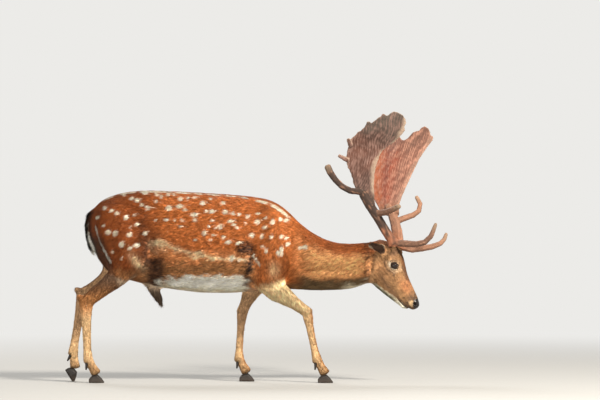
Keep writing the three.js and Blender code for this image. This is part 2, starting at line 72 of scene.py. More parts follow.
def applyModifier(piece, kind, **settings):
    pick(piece)
    modifier = piece.modifiers.new(kind.title(), kind)
    for name, value in settings.items():
        setattr(modifier, name, value)
    bpy.ops.object.modifier_apply(modifier=modifier.name)


def stopEdit():
    bpy.ops.object.mode_set(mode="OBJECT")


# Opens edit mode with the chosen points selected, or with all of them.
def startEdit(piece, chosen=None):
    pick(piece)
    bpy.ops.object.mode_set(mode="EDIT")
    bpy.ops.mesh.select_mode(type="VERT")
    bpy.ops.mesh.select_all(action="SELECT" if chosen is None else "DESELECT")
    if chosen is not None:
        stopEdit()
        piece.data.vertices.foreach_set("select", chosen)
        bpy.ops.object.mode_set(mode="EDIT")


# One skin over copies of CAD nodes, each merged and swollen a little so that neighbours overlap.
def remeshed(names, label, swell, voxel):
    copies = []
    for name in names:
        copies.append(placed(label, cadNodes[name].data.copy()))
        startEdit(copies[-1])
        bpy.ops.mesh.remove_doubles(threshold=0.00002)
        bpy.ops.transform.shrink_fatten(value=swell)
        stopEdit()
    piece = joined(copies)
    piece.data.materials.clear()
    applyModifier(piece, "REMESH", mode="VOXEL", voxel_size=voxel)
    return piece


def readArray(items, name, width, kind=float):
    values = np.empty(len(items) * width, kind)
    items.foreach_get(name, values)
    return values.reshape(-1, width)


def pointsOf(mesh):
    return readArray(mesh.vertices, "co", 3)


def normalsOf(mesh):
    return readArray(mesh.vertex_normals, "vector", 3, np.float32).astype(float)


def edgesOf(mesh):
    return readArray(mesh.edges, "vertices", 2, np.int32)


def movePoints(mesh, points):
    mesh.vertices.foreach_set("co", points.ravel())
    mesh.update()


# Averages a field over neighbouring vertices, so that it changes softly across the mesh.
def spread(field, edges, rounds):
    field = np.asarray(field, float)
    flat = field.reshape(len(field), -1)
    a, b = edges.T
    degree = np.bincount(a, minlength=len(flat)) + np.bincount(b, minlength=len(flat))
    for _ in range(rounds):
        around = [
            np.bincount(a, flat[b, k], len(flat)) + np.bincount(b, flat[a, k], len(flat))
            for k in range(flat.shape[1])
        ]
        flat = 0.5 * flat + 0.5 * np.stack(around, 1) / np.maximum(degree, 1)[:, None]
    return flat.reshape(field.shape)


def unit(vectors):
    vectors = np.asarray(vectors, float)
    return vectors / np.maximum(np.linalg.norm(vectors, axis=-1, keepdims=True), 1e-9)


# 0 at low and 1 at high, or the other way round where low is the larger.
def ramp(values, low, high):
    share = np.clip((values - low) / (high - low), 0, 1)
    return share * share * (3 - 2 * share)


def hill(distance, radius):
    return np.exp(-((distance / radius) ** 2))


# Relief from forms given in millimetres: the place of each, how far it reaches and stands out.
def relief(places, forms):
    total = np.zeros(len(places))
    for at, reach, out in forms:
        away = (places - np.array(at) / 1000) / (np.array(reach) / 1000)
        total += out / 1000 * np.exp(-(away**2).sum(1))
    return total


def groupOf(piece, name, weights, steps=20):
    group = piece.vertex_groups.new(name=name)
    levels = np.round(np.clip(weights, 0, 1) * steps).astype(int)
    for level in range(1, steps + 1):
        group.add(np.nonzero(levels == level)[0].tolist(), level / steps, "REPLACE")
    return group.name


# Colours are written as they look, from 0 to 255, and kept as linear light.
def paint(*colour):
    share = np.array(colour) / 255
    return np.where(share <= 0.04045, share / 12.92, ((share + 0.055) / 1.055) ** 2.4)


def paints(**colours):
    return {name: paint(*colour) for name, colour in colours.items()}


def mixed(base, colour, weight):
    return base + (np.asarray(colour) - base) * np.clip(weight, 0, 1)[:, None]


# Lays paints over a colour, or over another paint, each by its share at every place.
def layered(box, colour, *layers):
    colour = box[colour] if isinstance(colour, str) else colour
    for name, share in layers:
        colour = mixed(colour, box[name], share)
    return colour


# A smooth random field whose hills are about the given size apart.
def drift(places, size, seed, waves=7):
    turn = np.random.default_rng(seed)
    total = np.zeros(len(places))
    for _ in range(waves):
        wave = unit(turn.normal(size=3)) * turn.uniform(0.7, 1.4) * 2 * math.pi / size
        total += np.sin(places @ wave + turn.uniform(0, 6.28))
    return 2 * total / waves


# The same field drawn out along an axis, as fibres are.
def drawnOut(places, axis, share, size, seed):
    return drift(places - share * axis * (places * axis).sum(1)[:, None], size, seed)


def paintMesh(mesh, name, colours):
    layer = mesh.color_attributes.new(name=name, type="FLOAT_COLOR", domain="POINT")
    values = np.ones((len(colours), 4))
    values[:, :3] = np.clip(colours, 0, 1)
    layer.data.foreach_set("color", values.ravel())


def shadeSmooth(piece):
    pick(piece)
    bpy.ops.object.shade_smooth()


# Gives a finished piece its colours and its material.
def coloured(piece, look, layer, colours):
    paintMesh(piece.data, layer, colours)
    piece.data.materials.append(look)
    shadeSmooth(piece)


def middleOf(name):
    low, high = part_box(name)
    return (np.array(low) + np.array(high)) / 2


# The head leans and turns, so its features are placed along the face, out to its left, and up
# out of the forehead, all from the poll.
headPose = {"Z": math.radians(-20), "X": math.radians(-8), "Y": math.radians(52.5)}
headTurn = Matrix.Identity(3)
for axis, angle in headPose.items():
    headTurn = headTurn @ Matrix.Rotation(angle, 3, axis)
headAxes = np.array(headTurn)
eyeMiddles = {side: middleOf("eye_" + side) for side in sideSigns}
betweenEyes = np.array([0.106, 0, 0.017])
poll = (eyeMiddles["left"] + eyeMiddles["right"]) / 2 - headAxes @ betweenEyes
midPlane = middleOf("trunk")[1]


def inHead(places):
    return (places - poll) @ headAxes


def mirroredHead(local):
    return np.stack([local[:, 0], np.abs(local[:, 1]), local[:, 2]], 1)


# Skin: one mesh over every node of flesh.
legNames = [f"{end}leg_{side}" for end in ("fore", "hind") for side in sideSigns]
fleshNames = ["trunk", "neck", "head", "tail", "sheath", "ear_left", "ear_right"]
fleshNames += [leg + part for leg in legNames for part in ("_upper", "_lower")]

skinPlan = {
    "voxel": 0.0041,
    "swell": 0.0009,
    "broadShare": 0.27,  # how much of the mesh the broad body keeps
    "rounds": {"broad": 200, "middle": 45, "limb": 12},
    "sink": {"broad": 0.0030, "limb": 0.0012},  # the coat's depth, left to the tufts
    "kneeHeight": 0.40,
}


# Gives the place in the list of the node nearest to each point.
def nodeLookup(names):
    meshes = [cadNodes[name].data for name in names]
    starts = np.cumsum([0] + [len(mesh.vertices) for mesh in meshes])
    corners = np.concatenate([pointsOf(mesh) for mesh in meshes])
    faces = []
    for start, mesh in zip(starts, meshes):
        faces += [[int(start) + v for v in face.vertices] for face in mesh.polygons]
    owners = np.repeat(np.arange(len(meshes)), [len(mesh.polygons) for mesh in meshes])
    tree = BVHTree.FromPolygons(corners.tolist(), faces)
    return lambda places: owners[[tree.find_nearest(place)[2] for place in places.tolist()]]


nearestPart = nodeLookup(fleshNames)


# 1 on the named nodes of flesh and 0 elsewhere.
def onParts(parts, *words):
    chosen = [i for i, name in enumerate(fleshNames) if any(w in name for w in words)]
    return np.isin(parts, chosen).astype(float)


skin = remeshed(fleshNames, "skin", skinPlan["swell"], skinPlan["voxel"])
points = pointsOf(skin.data)
parts = nearestPart(points)
edges = edgesOf(skin.data)
aboveKnee = ramp(points[:, 2], skinPlan["kneeHeight"], skinPlan["kneeHeight"] + 0.06)
broad = np.maximum(onParts(parts, "trunk", "neck"), onParts(parts, "_upper") * aboveKnee)
broad = spread(broad, edges, 14)
middle = np.maximum(onParts(parts, "head"), onParts(parts, "leg_", "tail") * aboveKnee)
middle = spread(np.maximum(middle, broad), edges, 8)
notEar = np.clip(1 - 1.5 * spread(onParts(parts, "ear_"), edges, 3), 0, 1)
for name, weights in {"broad": broad, "middle": middle * notEar, "limb": notEar}.items():
    group = groupOf(skin, name, weights)
    applyModifier(
        skin, "SMOOTH", factor=0.5, iterations=skinPlan["rounds"][name], vertex_group=group
    )
applyModifier(skin, "SMOOTH", factor=0.4, iterations=3)
points = pointsOf(skin.data)
sink = skinPlan["sink"]["limb"] + (skinPlan["sink"]["broad"] - skinPlan["sink"]["limb"]) * broad
sink = sink * notEar
movePoints(skin.data, points - normalsOf(skin.data) * sink[:, None])
print("skin remeshed,", len(points), "points")

# The broad body keeps fewer faces, and the head gets more where it has folds.
startEdit(skin, broad > 0.6)
bpy.ops.mesh.decimate(ratio=skinPlan["broadShare"])
stopEdit()

fineSpots = {
    "eye": {"at": (0.106, 0.055, 0.017), "reach": 0.036},
    "nostril": {"at": (0.284, 0.018, -0.010), "reach": 0.030},
    "lipFront": {"at": (0.272, 0.016, -0.048), "reach": 0.026},
    "lipBack": {"at": (0.232, 0.026, -0.054), "reach": 0.026},
}
for names in (fineSpots, ["eye", "nostril"]):
    mirrored = mirroredHead(inHead(pointsOf(skin.data)))
    away = [
        np.linalg.norm(mirrored - fineSpots[name]["at"], axis=1) / fineSpots[name]["reach"]
        for name in names
    ]
    startEdit(skin, np.min(away, axis=0) < 1)
    bpy.ops.mesh.subdivide(number_cuts=1, smoothness=0.5)
    stopEdit()
applyModifier(skin, "TRIANGULATE")
print("skin refined,", len(skin.data.polygons), "triangles")

# Forms of the body under the coat, on both flanks: forward and up from the floor.
bodyForms = [
    ((-455, 540), (30, 100), -13),  # fold in front of the thigh
    ((-410, 480), (40, 60), -14),  # hollow of the flank
    ((-505, 500), (30, 60), 5),  # front edge of the thigh
    ((-360, 600), (80, 50), -5),
    ((-24, 560), (30, 75), -13),  # behind the shoulder
    ((-2, 480), (26, 50), -12),  # armpit
    ((45, 520), (32, 50), 6),  # muscle above the elbow
    ((58, 650), (28, 80), 4),  # ridge of the shoulder blade
    ((100, 630), (24, 70), -3),
    ((140, 500), (36, 36), 6),  # point of the shoulder
    ((190, 560), (30, 90), -7),  # in front of the shoulder
    ((-660, 735), (34, 24), 4),  # pin and hip bones
    ((-470, 755), (36, 24), 5),
    ((-615, 560), (26, 100), -7),  # between the thigh's muscles
    ((-560, 620), (40, 70), 5),
    ((290, 475), (140, 20), -7),  # furrow of the throat
    ((300, 535), (150, 30), 4),
    ((492, 495), (16, 50), -8),  # behind the jaw
    ((-200, 448), (150, 18), 7),  # side of the belly
]
ribPlan = {"apart": 0.044, "where": ((-200, 580), (140, 100), 0.6)}
points = pointsOf(skin.data)
normals = normalsOf(skin.data)
ribs = np.sin((points[:, 0] + 0.35 * points[:, 2]) * 2 * math.pi / ribPlan["apart"])
ribs *= relief(points[:, [0, 2]], [ribPlan["where"]])
out = (relief(points[:, [0, 2]], bodyForms) + ribs) * np.abs(normals[:, 1])
movePoints(skin.data, points + normals * out[:, None])

# Forms of the face, on both sides of it, in the head's own frame.
faceForms = [
    ((98, 52, 38), (24, 14, 8), 2),  # brow
    ((134, 42, -2), (20, 16, 6), -3),  # tear gland
    ((110, 50, -26), (40, 18, 8), 2.5),  # cheekbone
    ((85, 44, -66), (34, 16, 24), 2.5),  # jaw muscle
    ((160, 32, -50), (30, 18, 14), -2.5),
    ((190, 26, 6), (40, 12, 8), -2),
    ((262, 24, -28), (18, 14, 10), 2),  # upper lip
    ((262, 10, -64), (22, 18, 12), 5),  # chin
    ((284, 16, -2), (9, 8, 8), 2),  # nostril wing
]
faceBox = {"low": (-0.01, -0.075, -0.14), "high": (0.34, 0.075, 0.08)}
nostrilPlan = {"at": (0.287, 0.0175, -0.010), "reach": (0.0075, 0.008, 0.0042), "depth": 0.008}
mouthPlan = {
    "front": (0.292, -0.044),
    "back": (0.220, -0.060),
    "sag": 0.003,
    "width": 0.0026,
    "depth": 0.0042,
}


def lineDistance(places, start, end):
    start, end = np.array(start), np.array(end)
    share = np.clip(((places - start) @ (end - start)) / ((end - start) @ (end - start)), 0, 1)
    return np.linalg.norm(places - start - share[:, None] * (end - start), axis=1)


def mouthDistance(local):
    front, back = np.array(mouthPlan["front"]), np.array(mouthPlan["back"])
    line = back - front
    share = np.clip(((local[:, [0, 2]] - front) @ line) / (line @ line), 0, 1)
    sag = mouthPlan["sag"] * np.sin(share * math.pi)
    there = front + share[:, None] * line - sag[:, None] * [0, 1]
    return np.linalg.norm(local[:, [0, 2]] - there, axis=1)


def nostrilDistance(local):
    away = (mirroredHead(local) - nostrilPlan["at"]) / nostrilPlan["reach"]
    return np.linalg.norm(away, axis=1)


def onFace(local):
    low, high = np.array(faceBox["low"]), np.array(faceBox["high"])
    return ((local > low) & (local < high)).all(1)


points = pointsOf(skin.data)
normals = normalsOf(skin.data)
local = inHead(points)
out = relief(mirroredHead(local), faceForms)
out -= nostrilPlan["depth"] * np.exp(-(nostrilDistance(local) ** 3))
out -= mouthPlan["depth"] * hill(mouthDistance(local), mouthPlan["width"]) * (local[:, 0] > 0.2)
points += normals * (out * onFace(local))[:, None]

# Each eye lies in an opening whose lids wrap the eyeball.
eyePlan = {
    "radius": 0.0152,
    "halfLength": 0.0150,
    "halfOpen": 0.0120,
    "lid": 0.0016,
    "inset": 0.004,  # how far the opening lies inside the eyeball
    "reach": 0.03,
    "tilt": math.radians(26),
    "look": (0.26, 0.94, 0.20),
}


# The way an eye looks, and the long and short ways across its opening, in the head's own frame.
def eyeAxes(side):
    sign = sideSigns[side]
    look = unit(np.array(eyePlan["look"]) * [1, sign, 1])
    along = np.array([math.cos(eyePlan["tilt"]), 0, math.sin(eyePlan["tilt"])])
    along = unit(along - look * (along @ look))
    return look, along, np.cross(look, along) * -sign


def eyeOval(local, side):
    look, along, above = eyeAxes(side)
    offset = local - inHead(eyeMiddles[side])
    across, up = offset @ along, offset @ above
    halfOpen = eyePlan["halfOpen"] * np.where(up > 0, 1.0, 0.85)
    oval = np.sqrt((across / eyePlan["halfLength"]) ** 2 + (up / halfOpen) ** 2)
    return oval, offset @ look, np.hypot(across, up)


for side in sideSigns:
    oval, depth, flat = eyeOval(inHead(points), side)
    near = (depth > -eyePlan["inset"]) & (depth < eyePlan["reach"]) & (oval < 2.4)
    ball = np.sqrt(np.maximum(eyePlan["radius"] ** 2 - flat**2, 0))
    opened = ramp(oval, 1.12, 0.94)
    lid = ramp(oval, 1.9, 1.2) * (1 - opened)
    wanted = depth * (1 - lid - opened) + (ball + eyePlan["lid"]) * lid
    wanted += (ball - eyePlan["inset"]) * opened
    points[near] += ((wanted - depth)[near, None] * eyeAxes(side)[0]) @ headAxes.T
movePoints(skin.data, points)
shadeSmooth(skin)
print("skin sculpted")


def downAxis(name):
    spots = pointsOf(cadNodes[name].data)
    low, high = np.quantile(spots[:, 2], [0.15, 0.85])
    return unit(spots[spots[:, 2] < low].mean(0) - spots[spots[:, 2] > high].mean(0))


def earAxis(side):
    spots = pointsOf(cadNodes["ear_" + side].data)
    away = np.linalg.norm(spots - poll, axis=1)
    near, far = np.quantile(away, [0.2, 0.8])
    return unit(spots[away > far].mean(0) - spots[away < near].mean(0))


# How the coat lies on each node of flesh, its tufts, how many grow on a square metre, and the
# share of dark ones.
regionKeys = ("lie", "length", "lift", "width", "dense", "dark")
coatRegions = {
    "trunk": ((-1, 0, -0.28), 0.0150, 0.0023, 0.0017, 230000, 0.05),
    "neck": ((-1, 0, -0.50), 0.0180, 0.0030, 0.0018, 230000, 0.12),
    "head": (-headAxes[:, 0], 0.0075, 0.0014, 0.0011, 620000, 0.08),
    "tail": ((-0.1, 0, -1), 0.0300, 0.0050, 0.0017, 330000, 0.02),
    "sheath": ((0.3, 0, -1), 0.0260, 0.0040, 0.0016, 330000, 0.2),
}
for side in sideSigns:
    coatRegions["ear_" + side] = (earAxis(side), 0.0080, 0.0012, 0.0011, 500000, 0.1)
for leg in legNames:
    upper, lower = leg + "_upper", leg + "_lower"
    coatRegions[upper] = (downAxis(upper), 0.0135, 0.0025, 0.0015, 260000, 0.06)
    coatRegions[lower] = (downAxis(lower), 0.0090, 0.0016, 0.0012, 380000, 0.06)


def regionValues(key):
    return np.array([coatRegions[name][regionKeys.index(key)] for name in fleshNames], float)


points = pointsOf(skin.data)
normals = normalsOf(skin.data)
edges = edgesOf(skin.data)
parts = nearestPart(points)
local = inHead(points)
lie = unit(regionValues("lie")[parts])
haunchAndShoulder = onParts(parts, "_upper") * ramp(points[:, 2], 0.50, 0.62)
lie = mixed(lie, (-0.80, 0, -0.60), haunchAndShoulder)
underneath = onParts(parts, "trunk", "neck") * ramp(-normals[:, 2], 0.5, 0.85)
lie = mixed(lie, (-1, 0, 0), underneath)
faceShare = ramp(local[:, 0], 0.08, 0.26) * onParts(parts, "head")
shorter = 1 - 0.45 * faceShare
lengths = (regionValues("length")[parts] + 0.006 * underneath) * shorter
lifts = regionValues("lift")[parts] * shorter * (1 - 0.45 * underneath)
coat = {
    "lie": unit(spread(lie, edges, 30)),
    "length": spread(lengths, edges, 12),
    "lift": spread(lifts, edges, 12),
    "width": spread(regionValues("width")[parts] * (1 - 0.25 * faceShare), edges, 12),
    "dense": spread(regionValues("dense")[parts], edges, 6),
}

# Markings and painted shade, the same on the skin and on the coat over it.
# The browns for folds, hollows and the rear of the thigh, the darker undersides of the neck and
# jaw, the inner sides of the legs and the ear's hollow are painted shade; the haunch's brown and
# the patch behind the shoulder are partly painted shade.
coatPaint = paints(
    flank=(184, 104, 52), back=(196, 112, 60), haunch=(142, 73, 33), fold=(84, 50, 30),
    elbow=(34, 22, 16), lowFlank=(206, 138, 88), stripe=(246, 214, 170), grizzle=(150, 106, 66),
    belly=(252, 246, 230), bellyShade=(186, 182, 150), shoulder=(180, 103, 53),
    neck=(242, 170, 112), neckTop=(162, 90, 48), neckUnder=(118, 96, 68), throat=(226, 212, 184),
    face=(142, 106, 71), forehead=(118, 74, 46), brow=(172, 128, 90), temple=(92, 66, 48),
    muzzle=(62, 45, 34), muzzleSide=(146, 88, 52), cheek=(204, 152, 106), eyeRing=(186, 154, 122),
    eyeRingPale=(228, 212, 188), jaw=(196, 186, 160), jawUnder=(98, 96, 78), chin=(200, 194, 176),
    dark=(60, 42, 30), black=(30, 24, 20), leg=(255, 212, 162), legLow=(226, 186, 138),
    legInner=(182, 144, 108), legFront=(196, 134, 82), inner=(228, 200, 170), spot=(255, 238, 212),
    rump=(252, 247, 234), earBack=(132, 84, 52), earDeep=(72, 52, 40), earFringe=(220, 202, 174),
    nose=(26, 22, 20), lipPale=(190, 158, 118), eyelid=(26, 20, 17),
)

# Spots on the flank in rough rows, each by its place forward, its height from the floor and its
# radius, all in millimetres.
spotRows = {
    "underSpine": [
        (-559, 805, 5), (-526, 790, 7), (-501, 782, 8), (-481, 765, 7), (-457, 751, 9),
        (-468, 815, 9), (-420, 778, 6), (-398, 798, 6), (-417, 806, 6), (-369, 807, 6),
        (-345, 807, 5), (-316, 788, 8), (-283, 794, 5), (-257, 794, 5), (-221, 770, 9),
        (-188, 788, 5), (-135, 770, 7),
    ],
    "upperFlank": [
        (-365, 751, 10), (-320, 758, 10), (-295, 743, 7), (-256, 722, 10), (-205, 736, 6),
        (-180, 735, 9), (-125, 733, 8), (-92, 727, 7), (-65, 725, 6), (-30, 714, 7),
        (-421, 699, 5), (-376, 699, 6), (-339, 699, 5), (-308, 699, 6), (-253, 699, 7),
        (-180, 698, 5), (-102, 694, 8), (-87, 680, 6), (-73, 667, 6),
    ],
    "lowerFlank": [
        (-314, 673, 5), (-193, 673, 5), (-164, 667, 5), (-146, 671, 9), (-213, 644, 9),
        (-175, 636, 5), (-133, 625, 7), (-186, 617, 6), (-110, 605, 8), (-69, 601, 7),
        (-250, 615, 5), (-98, 535, 9), (-63, 530, 7),
    ],
    "shoulder": [
        (13, 727, 5), (46, 710, 5), (11, 691, 9), (75, 692, 9), (108, 700, 7), (134, 695, 7),
        (42, 669, 7), (-36, 685, 5), (-12, 634, 10), (30, 631, 8), (71, 627, 6), (113, 629, 7),
        (134, 622, 6), (141, 597, 8), (112, 578, 9), (104, 560, 11), (46, 570, 7), (31, 587, 5),
        (196, 581, 7), (217, 584, 9),
    ],
    "haunch": [
        (-641, 751, 7), (-612, 740, 6), (-590, 729, 7), (-550, 709, 9), (-513, 721, 5),
        (-504, 680, 8), (-675, 714, 7), (-646, 677, 5), (-626, 649, 9), (-596, 644, 10),
        (-536, 637, 8), (-569, 597, 10), (-533, 582, 7), (-504, 592, 9), (-468, 643, 8),
        (-532, 668, 4), (-610, 566, 5), (-571, 537, 4),
    ],
}
# Dashes of the pale line beside the spine, from the tail to the withers.
spineDashes = [
    (-0.645, -0.600), (-0.580, -0.505), (-0.492, -0.352), (-0.342, -0.270), (-0.258, -0.218),
    (-0.208, -0.138), (-0.124, -0.075), (-0.060, -0.024), (0.004, 0.060), (0.068, 0.150),
]
spotPlan = {"shake": 0.014, "lineHalf": 0.0085, "soft": 0.0032}


# The left flank has the same rows as the right, shaken so that it isn't a mirror image.
def spotsOn(side):
    rows = np.array([place for row in spotRows.values() for place in row]) / 1000
    places, sizes = rows[:, :2], rows[:, 2]
    longer = np.random.default_rng(11).uniform(0.85, 1.35, len(sizes))
    if side == "left":
        places = places + np.random.default_rng(12).uniform(-1, 1, places.shape) * spotPlan["shake"]
    return places, sizes, longer


flankSpots = {side: spotsOn(side) for side in sideSigns}
bodyPoints = points[onParts(parts, "trunk", "neck") > 0]
slices = np.linspace(-0.70, 0.44, 39)
sliced = [bodyPoints[np.abs(bodyPoints[:, 0] - x) < 0.016][:, 2] for x in slices]
backLine = [heights.max() for heights in sliced]
bellyLine = [heights.min() for heights in sliced]


# A random field drawn out along the lie of the hair, as in a coat that parts into locks.
def locks(places, parts, size, seed):
    axes = unit(regionValues("lie"))[parts]
    axes = np.where((onParts(parts, "trunk", "neck") > 0)[:, None], [1.0, 0.0, 0.0], axes)
    return drawnOut(places, axes, 0.66, size, seed)


# Distance from a line seen from the side of the deer.
def fromSideLine(places, start, end):
    return lineDistance(places[:, [0, 2]], start, end)


def trunkColours(places, side, rise, streaks, wobble):
    x, _, z = places.T
    patchy = 0.012 * drift(places, 0.08, 20) + 0.008 * drift(places, 0.03, 27)
    spine = ramp(np.abs(side) + wobble, 0.016, 0.008) * ramp(rise, 0.90, 0.96)
    betweenLegs = ramp(x, -0.50, -0.42) * ramp(x, 0.02, -0.03)
    grizzled = ramp(z + wobble + patchy + 0.010 * streaks, 0.532, 0.498) * betweenLegs

    # a broken pale band from the flank's hollow down towards the elbow
    stripeHeight = np.interp(
        x, [-0.45, -0.38, -0.30, -0.20, -0.02], [0.596, 0.590, 0.562, 0.540, 0.530]
    )
    stripeHalf = np.interp(x, [-0.44, -0.36, -0.28, 0.0], [0.019, 0.017, 0.011, 0.009])
    stripe = hill(z + wobble + 0.7 * patchy - stripeHeight, stripeHalf)
    stripe *= ramp(x, -0.475, -0.440) * ramp(x, -0.02, -0.045)
    broken = 0.5 + 0.6 * drift(places, 0.026, 10) + 0.35 * streaks

    # painted shade in the folds in front of the thigh and along the flank's rear edge; behind the
    # shoulder a dark patch, partly grizzled hair and partly painted shade
    thighFold = hill(x + 0.468 - 0.10 * (z - 0.55) + wobble, 0.010) * ramp(z, 0.69, 0.62)
    flankFold = ramp(x + 0.6 * wobble, -0.375, -0.405) * ramp(x, -0.49, -0.46)
    flankFold *= ramp(z + wobble, 0.550, 0.520)
    beforeThigh = hill(x + 0.484 + wobble, 0.018) * ramp(z, 0.74, 0.66) * ramp(z, 0.50, 0.54)
    folds = np.maximum(0.80 * thighFold, 0.78 * flankFold)
    folds = np.maximum(folds, beforeThigh * (0.60 - 0.2 * streaks))
    deepFold = np.maximum(thighFold * ramp(z, 0.62, 0.54), flankFold)
    elbowAway = ((x + 0.038 + patchy) / 0.042) ** 2 + ((z - 0.580) / 0.040) ** 2
    elbowLine = hill(x + 0.030 - 0.12 * (z - 0.45) + wobble, 0.018) * ramp(z, 0.58, 0.54)
    elbowFold = np.maximum(np.exp(-(elbowAway**1.4)), elbowLine)

    # painted shade in the hollow of the flank, paler front of the upper arm and of the thigh
    hollow = hill(x + 0.452, 0.045) * hill(z - 0.590, 0.085)
    upperArm = hill(x - 0.078, 0.024) * hill(z - 0.488, 0.034)
    thighPale = hill(x + 0.507 + 0.5 * (z - 0.52), 0.020) * hill(z - 0.520, 0.036)
    lowHaunch = ramp(z + wobble + patchy, 0.515, 0.455) * ramp(x, -0.44, -0.49)

    # the white belly, with a ragged edge
    ragged = 0.008 * streaks + wobble + 0.8 * patchy
    belly = ramp(z + ragged, 0.463, 0.451) * ramp(x + ragged, -0.020, -0.055)
    belly *= ramp(x + 2 * ragged - 0.3 * (z - 0.44), -0.415, -0.365)
    return layered(
        coatPaint,
        "flank",
        ("back", ramp(rise, 0.80, 0.98)),
        # the haunch a darker brown, partly its own colour and partly painted shade
        ("haunch", ramp(x, -0.36, -0.50) * (0.9 + 0.3 * streaks)),
        ("shoulder", ramp(x, -0.02, 0.06) * 0.8),
        ("neckTop", spine * 0.8),
        ("lowFlank", ramp(z + wobble, 0.590, 0.545) * betweenLegs * (0.55 + 0.3 * streaks)),
        ("grizzle", grizzled * (0.80 - 0.35 * streaks)),
        ("stripe", stripe * np.clip(0.50 + 0.5 * broken, 0.10, 0.97)),
        # painted shade in the folds, and the patch behind the shoulder, partly painted shade and
        # partly grizzled hair
        ("fold", folds),
        ("elbow", elbowFold * (0.98 - 0.30 * streaks)),
        # painted shade in the hollow of the flank
        ("fold", hollow * (0.42 - 0.2 * streaks)),
        # deeper painted shade low in the folds in front of the thigh
        ("elbow", deepFold * (0.62 - 0.25 * streaks)),
        ("leg", upperArm * (0.55 + 0.3 * streaks)),
        ("stripe", thighPale * (0.62 + 0.4 * streaks)),
        ("grizzle", lowHaunch * (0.75 - 0.3 * streaks)),
        ("lowFlank", lowHaunch * ramp(broken, 0.3, 1.3) * 0.6),
        ("belly", belly),
        ("bellyShade", belly * ramp(rise + 0.5 * patchy, 0.075, 0.020) * 0.6),
        ("inner", ramp(rise, 0.035, 0.0) * ramp(x, 0.20, 0.10) * 0.8),
        ("grizzle", ramp(rise, 0.12, 0.05) * ramp(x, -0.04, 0.02) * 0.85),
    )


def neckColours(places, rise, streaks, wobble):
    x = places[:, 0]
    height = rise + 4 * wobble
    furrow = hill(height - 0.24, 0.07) * (0.25 + 0.5 * streaks)
    return layered(
        coatPaint,
        "neck",
        ("neckTop", ramp(height, 0.66, 0.86)),
        ("shoulder", ramp(x, 0.30, 0.16) * 0.5),
        # painted shade on the underside of the neck and in the throat's furrow
        ("neckUnder", ramp(height, 0.30, 0.16)),
        ("fold", furrow * ramp(x, 0.26, 0.34)),
        ("throat", ramp(height, 0.17, 0.05) * ramp(x, 0.36, 0.42)),
        # painted shade in the hollow behind the jaw
        ("fold", hill(x - 0.486 + wobble, 0.018) * (0.75 - 0.3 * streaks)),
    )


# White flecks: rows on the flank, a line beside the spine, and marks in front of the elbow.
def spotShare(places, side, rise, parts):
    x, _, z = places.T
    grain = drift(places, 0.012, 5) * 0.12 + drift(places, 0.006, 6) * 0.08
    onBody = onParts(parts, "leg_", "trunk", "neck") > 0
    spotted = np.zeros(len(places))
    for name, sign in sideSigns.items():
        beside = (side * sign > 0) & onBody
        for (atX, atZ), size, longer in zip(*flankSpots[name]):
            away = np.hypot((x - atX) / longer, (z - atZ) * longer**0.5) / size
            spotted = np.maximum(spotted, ramp(away + grain, 1.36, 0.94) * beside)
    lineOut = np.interp(x, [-0.64, -0.3, -0.08, 0.03, 0.15], [0.020, 0.022, 0.026, 0.042, 0.044])
    unevenLine = 0.9 + 0.3 * drift(places, 0.05, 7) + 0.3 * drift(places, 0.018, 28)
    lineHalf = spotPlan["lineHalf"] * unevenLine + 0.002 * ramp(x, 0.0, 0.05)
    shifted = x + grain * 0.06
    dashed = np.zeros(len(places))
    for start, end in spineDashes:
        dash = ramp(shifted, start, start + 0.008) * ramp(shifted, end, end - 0.008)
        dashed = np.maximum(dashed, dash)
    line = ramp(np.abs(np.abs(side) - lineOut) - lineHalf, spotPlan["soft"], -spotPlan["soft"])
    line *= ramp(rise, 0.80, 0.88) * onBody * dashed
    arc = fromSideLine(places, (-0.006, 0.548), (0.016, 0.512))
    arc = ramp(arc + grain * 0.01, 0.007, 0.003) * (np.abs(side) > 0.06) * onBody
    return np.maximum(np.maximum(spotted, line), arc)


# The rump: white round the tail, edged with black, a thin pale line down each thigh, and painted
# shade behind the thigh.
def rumpMarkings(colour, places, side, facing, wobble, onTail):
    x, _, z = places.T
    behindThigh = ramp(x + 0.33 * (z - 0.60), -0.628, -0.655) * ramp(z, 0.66, 0.60)
    colour = layered(coatPaint, colour, ("fold", behindThigh * 0.85))
    for start, end in (((-0.686, 0.676), (-0.668, 0.620)), ((-0.668, 0.620), (-0.622, 0.520))):
        away = fromSideLine(places, start, end)
        thighLine = ramp(away + wobble * 0.5, 0.0052, 0.0022) * (np.abs(side) > 0.05)
        colour = layered(coatPaint, colour, ("rump", thighLine * 0.8))
    patchHalf = np.interp(z, [0.46, 0.54, 0.60, 0.66, 0.72], [0.012, 0.034, 0.036, 0.026, 0.012])
    onRump = ramp(x, -0.60, -0.64)
    patch = ramp(np.abs(side) + wobble, patchHalf + 0.004, patchHalf - 0.004)
    patch *= ramp(z, 0.47, 0.50) * ramp(z, 0.735, 0.715) * ramp(-facing[:, 0], 0.45, 0.75) * onRump
    edge = hill(np.abs(side) - patchHalf - 0.011, 0.012) * ramp(z, 0.52, 0.56) * onRump
    edge *= ramp(-facing[:, 0], 0.1, 0.5) * ramp(z, 0.75, 0.73)
    colour = layered(coatPaint, colour, ("black", edge * 0.85), ("rump", patch * (1 - onTail)))
    blackTop = ramp(-facing[:, 0] + 0.5 * facing[:, 2], -0.35, 0.10) * ramp(z, 0.565, 0.590)
    return mixed(colour, layered(coatPaint, "rump", ("black", blackTop)), onTail)
